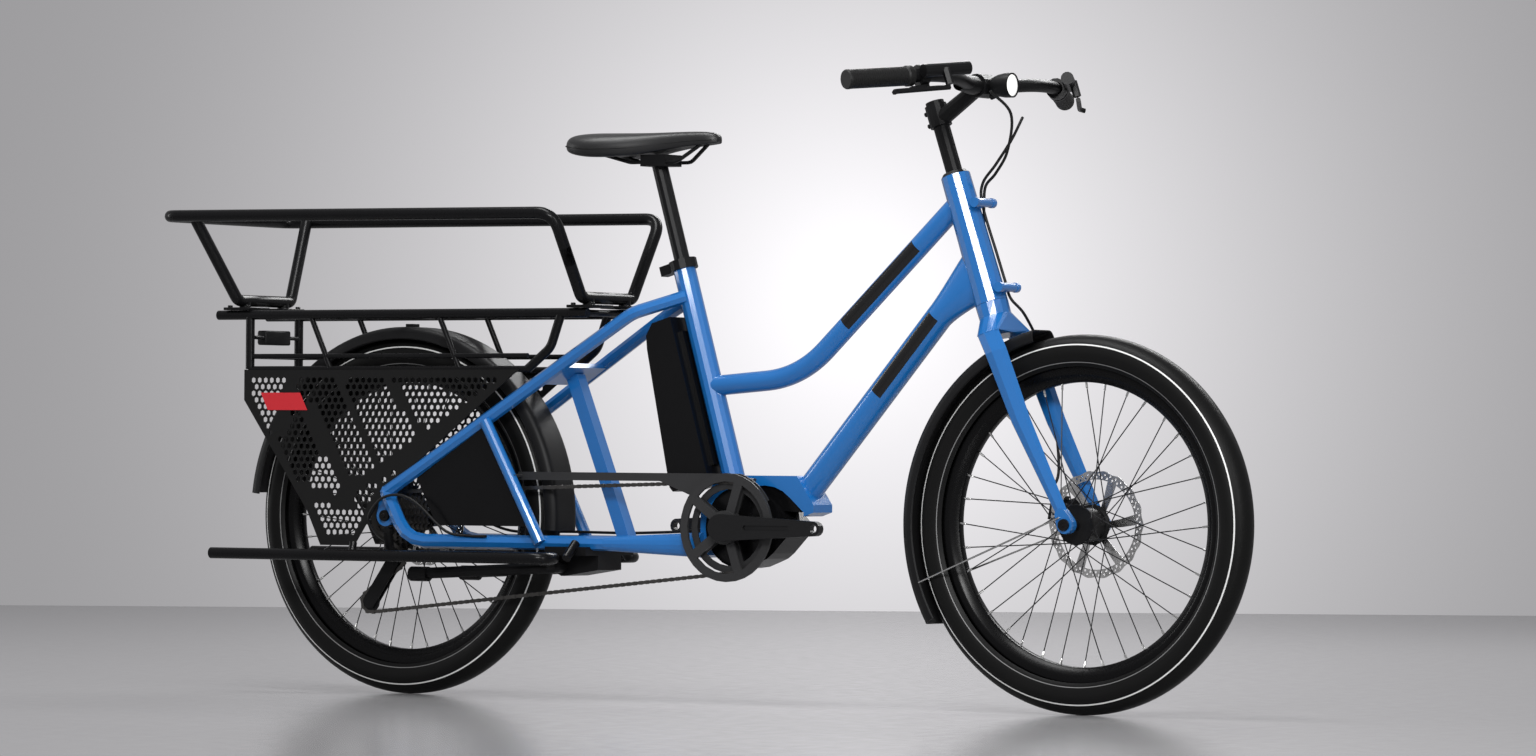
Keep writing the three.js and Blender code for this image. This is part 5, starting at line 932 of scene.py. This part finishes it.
def make_passenger_rail():
    low, high = HOOP_FOOT_HEIGHT, HOOP_HEIGHT

    foot = Vector((HOOP.front, -HOOP.foot_half, low))
    shoulder = Vector((HOOP.front, -HOOP.leg_half, HOOP_FRONT_HEIGHT))
    rails = [foot.lerp(shoulder, 0.4), shoulder, (HOOP.rear, -HOOP.half, high)]
    front_legs = [foot.lerp(shoulder, 0.6), foot]
    rear_legs = [(HOOP.leg_rear, -HOOP.leg_half, high), (HOOP.foot_rear, -HOOP.foot_half, low)]
    bm = bmesh.new()
    for path, bend in ((rails, HOOP.bend), (front_legs, HOOP.bend / 2), (rear_legs, HOOP.bend / 2)):
        sweep(bm, bent(both_halves(path), bend), HOOP.radius, 28)
    for x in (HOOP.front, HOOP.foot_rear):
        for s in (RIGHT, LEFT):
            one, two = sorted((s * HOOP_FOOT.inner, s * HOOP_FOOT.outer))
            top = DECK_TOP + HOOP_FOOT.thickness
            box(bm, (x - HOOP_FOOT.half, one, DECK_TOP), (x + HOOP_FOOT.half, two, top), MM)
            y = s * HOOP.foot_half * 0.72
            rod(bm, (x, y, DECK_TOP), (x, y, low), HOOP.radius, 24)
            for bolt in (-HOOP_FOOT.bolt, HOOP_FOOT.bolt):
                lathe(bm, HOOP_BOLT, 16, (x + bolt, s * HOOP_FOOT.bolt_side, top), (0, 0, 1))
    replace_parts(add_piece("passenger_rail_tubes", bm, "gloss_black", "frame"), "passenger_rail")


def make_footrest(side_name, s):
    outer, inner, z = s * STEP.outer, s * STEP.inner, STEP_HEIGHT
    path = [(STEP.rear, outer, z), (STEP.front, outer, z), (STEP.front, inner, z), (STEP.inner_end, inner, z)]
    bm = bmesh.new()
    sweep(bm, bent(path, (STEP.outer - STEP.inner) / 2 - 0.3 * MM), STEP.radius, 28)
    one, two = sorted((outer, inner))
    for x in STEP.crosses:
        box(bm, (x - 12 * MM, one, z - 2.5 * MM), (x + 12 * MM, two, z + 2.5 * MM), MM)
    stay_top = (STEP_STAY.x, s * STEP_STAY.side, BRACKET.z - 31 * MM)
    rod(bm, (STEP_STAY.x, inner, z), stay_top, STEP_STAY.radius, 20)
    hanger_side = s * (GUARD_SIDE + GUARD_THICKNESS + STEP_HANGER.side)
    hanger_top = (STEP_HANGER.x, hanger_side, STEP_HANGER.height)
    rod(bm, (STEP_HANGER.x, inner, z), hanger_top, STEP_HANGER.radius, 20)
    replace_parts(add_piece(f"footrest_tubes_{side_name}", bm, "gloss_black", "frame"), f"footrest_{side_name}")


# Saddle: a crowned pad on its shell

SADDLE_LENGTH = 300 * MM
SADDLE_HALF = 75 * MM
SADDLE_HEIGHT = 46 * MM
# Along the saddle from its rear: share of the length, then of the width, the drop of its top and its depth
SADDLE_SHARES = [
    (0, 0.30, 0.30, 0.30), (0.02, 0.55, 0.14, 0.52), (0.07, 0.84, 0.05, 0.74), (0.14, 0.96, 0.015, 0.88),
    (0.22, 1, 0, 0.96), (0.32, 0.93, 0.01, 0.96), (0.42, 0.79, 0.02, 0.92), (0.52, 0.6, 0.025, 0.84),
    (0.62, 0.45, 0.02, 0.74), (0.72, 0.36, 0.01, 0.65), (0.82, 0.3, 0.005, 0.57), (0.92, 0.26, 0.02, 0.5),
    (0.97, 0.2, 0.07, 0.42), (1, 0.1, 0.17, 0.3),
]
# Across the saddle from its middle: share of the half width, then of the depth
SADDLE_SECTION = [
    (0, 0.03), (0.25, 0.0), (0.5, 0.03), (0.7, 0.1), (0.85, 0.21), (0.95, 0.37), (1, 0.55), (0.995, 0.72),
    (0.97, 0.86), (0.9, 0.97), (0.75, 1), (0.45, 0.92), (0, 0.88),
]
SEAM_DOWN_SHARE, SEAM_OUT_SHARE = 0.66, 0.993


def make_saddle():
    low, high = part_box("saddle")
    rear, top = low[0], high[2]
    bm = bmesh.new()
    rings = []
    for along, width, drop, depth in SADDLE_SHARES:
        x = rear + along * SADDLE_LENGTH
        crest, half, deep = top - drop * SADDLE_HEIGHT, width * SADDLE_HALF, depth * SADDLE_HEIGHT
        one = [bm.verts.new((x, -out * half, crest - down * deep)) for out, down in SADDLE_SECTION]
        two = [bm.verts.new((x, out * half, crest - down * deep)) for out, down in SADDLE_SECTION[-2:0:-1]]
        rings.append(one + two)
    join_rings(bm, rings)
    bm.faces.new(rings[0])
    bm.faces.new(rings[-1][::-1])
    pad = add_piece("saddle_pad", bm, "cover", "seat", smooth=180)
    rounding = pad.modifiers.new("rounding", "SUBSURF")
    rounding.levels = rounding.render_levels = 2
    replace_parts(pad, "saddle")
    make_saddle_seam(rear, top)


def make_saddle_seam(rear, top):
    """A fine welt round the saddle where its cover meets the skirt."""
    bm = bmesh.new()
    for s in (RIGHT, LEFT):
        path = []
        for along, width, drop, depth in SADDLE_SHARES[1:-1]:
            z = top - drop * SADDLE_HEIGHT - SEAM_DOWN_SHARE * (depth * SADDLE_HEIGHT)
            path.append((rear + along * SADDLE_LENGTH, s * width * SADDLE_HALF * SEAM_OUT_SHARE, z))
        sweep(bm, spline(path, 4), 0.8 * MM, 8)
    add_piece("saddle_seam", bm, "rubber", "seat")


# Handlebar fittings

CLAMP_UP = 351 * MM
CLAMP_AHEAD = 97 * MM
BAR_RADIUS = 11.1 * MM
BAR_BULGE = 15.9 * MM
# The bar's left half, in millimetres from the middle of its clamp: ahead, to the side, and up
BAR_HALF = [(0, 45, 0), (25, 125, 0), (25, 200, 0), (-45, 352, 9)]
GRIP_LENGTH = 129 * MM
GRIP_END = 5 * MM
GRIP_COLLAR = in_metres([(11.3, 0), (16.6, 0), (17.4, 1), (17.4, 10), (16, 11.5)])
GRIP_RIBS = 26
# The headlight's middle line dips forward
HEADLIGHT_DIP = math.radians(18)
HEADLIGHT_SHELL = in_metres([
    (0, -44), (9, -43), (14, -37), (18.5, -26), (20.6, -14), (21, 0), (20, 0.6), (18.6, 0), (18.4, -3),
    (0, -3.4),
])
HEADLIGHT_LENS = in_metres([(18.3, -2.6), (18.3, -1.4), (16, -0.4), (10, 0.3), (0, 0.6)])


def bar_spot(ahead, side, rise):
    """A place by its distances from the middle of the bar's clamp, in millimetres."""
    return on_steer(CLAMP_UP + rise * MM, CLAMP_AHEAD + ahead * MM, side * MM)


def make_bar():
    right = [bar_spot(ahead, -side, rise) for ahead, side, rise in reversed(BAR_HALF)]
    bm = bmesh.new()
    sweep(bm, bent(both_halves(right), 60 * MM, 12, arc=False), BAR_RADIUS, 24)
    clamp = bar_spot(0, 0, 0)
    taper = [(0, 0), (BAR_BULGE, 0), (BAR_BULGE, 40 * MM), (BAR_RADIUS, 78 * MM)]
    for s in (RIGHT, LEFT):
        lathe(bm, taper, 32, clamp, bar_spot(0, s * 45, 0) - clamp)
    bar = add_piece("bar", bm, "satin_black", "steering")
    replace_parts(bar, "handlebar")


def make_grip(name, s):
    """A ribbed rubber sleeve with a locking collar, along the bar's end."""
    bend, end = (bar_spot(ahead, s * side, rise) for ahead, side, rise in BAR_HALF[-2:])
    way = (end - bend).normalized()
    mouth = end + way * GRIP_END - way * GRIP_LENGTH
    profile = list(GRIP_COLLAR)
    start, finish = 13 * MM, GRIP_LENGTH - 6 * MM
    pitch = (finish - start) / GRIP_RIBS
    for k in range(GRIP_RIBS):
        for radius, share in ((15.3 * MM, 0), (15.3 * MM, 0.3), (16 * MM, 0.42), (16 * MM, 0.88)):
            profile.append((radius, start + pitch * (k + share)))
    profile += [(16.5 * MM, finish), (16.5 * MM, GRIP_LENGTH - 2 * MM), (15.4 * MM, GRIP_LENGTH)]
    profile.append((0, GRIP_LENGTH))
    bm = bmesh.new()
    lathe(bm, profile, 40, mouth, way)
    sleeve = add_piece(f"{name}_sleeve", bm, "rubber", "steering")
    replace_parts(sleeve, name)


def make_headlight():
    centre = middle("headlight")
    forward = (STEER_AHEAD * math.cos(HEADLIGHT_DIP) - STEER_UP * math.sin(HEADLIGHT_DIP)).normalized()
    front = centre + forward * 22 * MM
    bm = bmesh.new()
    lathe(bm, HEADLIGHT_SHELL, 48, front, forward)
    under = on_steer(328 * MM, 106 * MM)
    bracket = [under, under + STEER_AHEAD * 20 * MM, centre - forward * 8 * MM]
    sweep(bm, bent(bracket, 10 * MM, 8, arc=False), 5 * MM, 12)
    shell = add_piece("headlight_shell", bm, "plastic", "steering")
    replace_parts(shell, "headlight")
    bm = bmesh.new()
    lathe(bm, HEADLIGHT_LENS, 48, front, forward)
    add_piece("headlight_lens", bm, "lens", "steering")


# Cords, in millimetres; the first two by their distances ahead, to the side and up from the steering's race

CABLE_RADIUS = 2.5 * MM

FRONT_HOSE = [
    (120, 62, 290), (108, 24, 252), (70, 18, 222), (36, 18, 200), (24.5, 18, 165), (25, 19, 80), (26, 19, 30),
    (26.5, 20, 0), (34, 38, -32), (24, 77, -88), (20, 77, -170), (0, 68, -290), (-17, 50, -325),
]
REAR_HOSE_STEER = [
    (130, -40, 328), (134, 0, 288), (100, 16, 236), (62, 25, 210), (35, 27, 196), (21, 28, 165), (8, 33, 138),
    (-16, 33, 104),
]
REAR_HOSE_FRAME = [
    (1112, 28, 693), (990, 28, 549), (880, 30, 420), (838, 38, 381), (780, 41, 349), (700, 41, 330),
    (610, 43, 300),
    (460, 50, 290), (300, 60, 290), (170, 68, 290), (96, 54, 318),
]
SHIFT_CABLE = [
    (220, -80.4, 282), (185, -83, 282.4), (140, -90, 290), (90, -102, 335), (50, -103, 352), (8, -102, 345),
    (-22, -98, 312), (-17, -86, 284), (-4.6, -76, 271),
]


def make_cord(name, places, body, node):
    bm = bmesh.new()
    sweep(bm, spline(places, 8), CABLE_RADIUS, 12)
    cord = add_piece(name, bm, "rubber", body)
    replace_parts(cord, node)
    return cord


def make_cords():
    front, rear = ([on_steer(up * MM, ahead * MM, side * MM) for ahead, side, up in places]
                   for places in (FRONT_HOSE, REAR_HOSE_STEER))
    make_cord("front_brake_hose", front, "steering", "brake_hose_front")
    rear_hose = make_cord("rear_brake_hose", rear + in_metres(REAR_HOSE_FRAME), None, "brake_hose_rear")
    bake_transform(rear_hose)
    make_cord("shift_cable_housing", in_metres(SHIFT_CABLE), "frame", "shift_cable")


# Cogs and chain

CHAIN_SIDE = -50 * MM
CHAIN_PITCH = 12.7 * MM
COG_RADII = in_metres([66, 60, 54, 48, 42, 36, 30, 24])
COG = sizes(step=4.1, thickness=1.8, tooth=4.5, bore=17.4, near=33, far=65, sleeve=20)
# The round places that the chain bends over: the middle and radius of each, and the side that it passes on
CHAIN_WHEELS = [
    (Vector((BRACKET.x, BRACKET.z)), 77.5 * MM, 1),
    (Vector((0, REAR_AXLE.z)), 42 * MM, 1),
    (Vector((4, 240)) * MM, 19 * MM, -1),
    (Vector((-50, 163)) * MM, 19 * MM, 1),
]
CHAIN_PIN = in_metres([(0, -2.55), (1.9, -2.55), (1.9, 2.55), (0, 2.55)])


def toothed(radius, depth):
    """A cog's outline: low valleys between rounded teeth."""
    teeth = round(2 * math.pi * radius / CHAIN_PITCH)
    outline = []
    for k in range(teeth):
        for share, reach in ((-0.3, 0), (-0.12, 0.75), (0, 1), (0.12, 0.75), (0.3, 0)):
            outline.append(polar(radius - depth * (1 - reach), 2 * math.pi * (k + share) / teeth))
    return outline


def make_cassette():
    bm = bmesh.new()
    for k, radius in enumerate(COG_RADII):
        near = -(COG.near + k * COG.step)
        holes = [circle(0, 0, COG.bore, 24)]
        if radius > 40 * MM:
            reach = (radius + COG.bore) / 2 - 2 * MM
            holes += [circle(*polar(reach, turn), (radius - 30 * MM) * 0.32, 12) for turn in turns(6)]
        plate(bm, toothed(radius, COG.tooth), near - COG.thickness, near, holes)
    sleeve = [(COG.bore, -COG.near), (COG.sleeve, -COG.near), (COG.sleeve, -COG.far), (COG.bore, -COG.far)]
    lathe(bm, sleeve, 32, loop=True)
    cogs = add_piece("cassette_cogs", bm, "chain", "cogs", REAR_AXLE)
    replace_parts(cogs, "cassette")


def chain_path():
    """The closed line of the chain over its wheels, in the XZ plane."""
    wheels = CHAIN_WHEELS
    lines = []
    for (c1, r1, s1), (c2, r2, s2) in zip(wheels, wheels[1:] + wheels[:1]):
        run = c2 - c1
        length = run.length
        base = math.atan2(run.y, run.x)
        swing = math.acos(max(-1, min(1, (s1 * r1 - s2 * r2) / length)))
        turn = base - swing
        normal = Vector((math.cos(turn), math.sin(turn)))
        lines.append((c1 + normal * r1 * s1, c2 + normal * r2 * s2))
    path = []
    for i, (centre, radius, s) in enumerate(wheels):
        arrive, leave = lines[i - 1][1], lines[i][0]
        start = math.atan2(arrive.y - centre.y, arrive.x - centre.x)
        end = math.atan2(leave.y - centre.y, leave.x - centre.x)
        sweep_angle = end - start
        while s * sweep_angle < 0:
            sweep_angle += s * 2 * math.pi
        while s * sweep_angle > 2 * math.pi:
            sweep_angle -= s * 2 * math.pi
        steps = max(4, int(abs(sweep_angle) / 0.15))
        for k in range(steps + 1):
            angle = start + sweep_angle * k / steps
            path.append(centre + Vector((math.cos(angle), math.sin(angle))) * radius)
    return path


def along_path(path, spacing):
    """Evenly spaced places round a closed path."""
    closed = path + path[:1]
    lengths = [(b - a).length for a, b in zip(closed, closed[1:])]
    total = sum(lengths)
    count = 2 * round(total / spacing / 2)
    places, leg, walked = [], 0, 0.0
    for k in range(count):
        goal = total * k / count
        while walked + lengths[leg] < goal:
            walked += lengths[leg]
            leg += 1
        share = (goal - walked) / lengths[leg] if lengths[leg] else 0
        places.append(closed[leg].lerp(closed[leg + 1], share))
    return places


def link_outline(a, b):
    """The outline of a chain link between two pins, narrow at its waist."""
    run = (b - a).normalized()
    across = Vector((-run.y, run.x))
    outline = []
    for centre, way in ((b, 1), (a, -1)):
        for angle in (-60, -20, 20, 60):
            turn = math.radians(angle) * way
            outline.append(centre + (run * way * math.cos(turn) + across * math.sin(turn)) * 4 * MM)
        outline.append((a + b) / 2 + across * way * 2.6 * MM)
    return outline


def make_chain():
    bm = bmesh.new()
    places = along_path(chain_path(), CHAIN_PITCH)
    for k, (a, b) in enumerate(zip(places, places[1:] + places[:1])):
        wide = 2.3 * MM if k % 2 else 1.5 * MM
        for s in (RIGHT, LEFT):
            side = CHAIN_SIDE + s * wide
            plate(bm, link_outline(a, b), side - 0.4 * MM, side + 0.4 * MM)
        lathe(bm, CHAIN_PIN, 8, (a.x, CHAIN_SIDE, a.y))
    chain = add_piece("chain_links", bm, "chain", "frame")
    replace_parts(chain, "chain")


# Tail light and label films

FILM_PROUD = 0.25 * MM


def make_tail_light():
    low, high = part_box("tail_light")
    centre = middle("tail_light")
    width, rim = 37 * MM, 3 * MM
    bm = bmesh.new()
    box(bm, (low[0] + MM, -width, low[2]), (high[0] - rim, width, high[2]), rim)
    rod(bm, (centre.x + 4 * MM, low[1], centre.z), (centre.x + 4 * MM, high[1], centre.z), 3.5 * MM, 12)
    housing = add_piece("tail_light_housing", bm, "plastic", "frame")
    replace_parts(housing, "tail_light")
    bm = bmesh.new()
    box(bm, (low[0] - MM, rim - width, low[2] + rim), (low[0] + rim, width - rim, high[2] - rim), MM)
    add_piece("tail_light_lens", bm, "smoked", "frame")


def tube_patch(name, start, end, radius, middle_turn, half_turn):
    """A thin plain film laid on a tube, between two places and over an angle round it."""
    way = (end - start).normalized()
    side = Vector((0, -1, 0))
    other = way.cross(side).normalized()
    angles = [math.radians(middle_turn - half_turn + 2 * half_turn * k / 16) for k in range(17)]
    bm = bmesh.new()
    rows = [ring(bm, start.lerp(end, share), side, other, radius + FILM_PROUD, angles) for share in (0, 0.5, 1)]
    join_rings(bm, rows, closed=False)
    add_piece(name, bm, "decal", "frame")


def make_decals():
    """Plain black films on the top tube and the down tube, where the photograph shows dark patches."""
    top, low = on_steer(TOP_TUBE.head), on_steer(DOWN_TUBE.head)
    for side_name, s in SIDES.items():
        turn = 0 if s == RIGHT else 180
        start, end = (top.lerp(TOP_TUBE_BEND, share) for share in (0.26, 0.7))
        tube_patch(f"top_film_{side_name}", start, end, TOP_TUBE.radius, turn, 42)
        start, end = (low.lerp(DOWN_TUBE_FOOT, share) for share in (0.23, 0.56))
        tube_patch(f"down_film_{side_name}", start, end, DOWN_TUBE.radius, turn, 30)


# The whole bike

make_camera()
make_cords()
make_studio()
make_floor()
finish_kept_nodes()
make_wheel("front", FRONT_AXLE, "front_wheel")
make_wheel("rear", REAR_AXLE, "rear_wheel")
for side_name, s in SIDES.items():
    make_guard(side_name, s)
    make_grip(f"grip_{side_name}", s)
    make_footrest(side_name, s)
make_top_tube()
make_down_tube()
make_rack()
make_passenger_rail()
make_decals()
make_mudguards()
make_saddle()
make_bar()
make_headlight()
make_tail_light()
make_cassette()
make_chain()
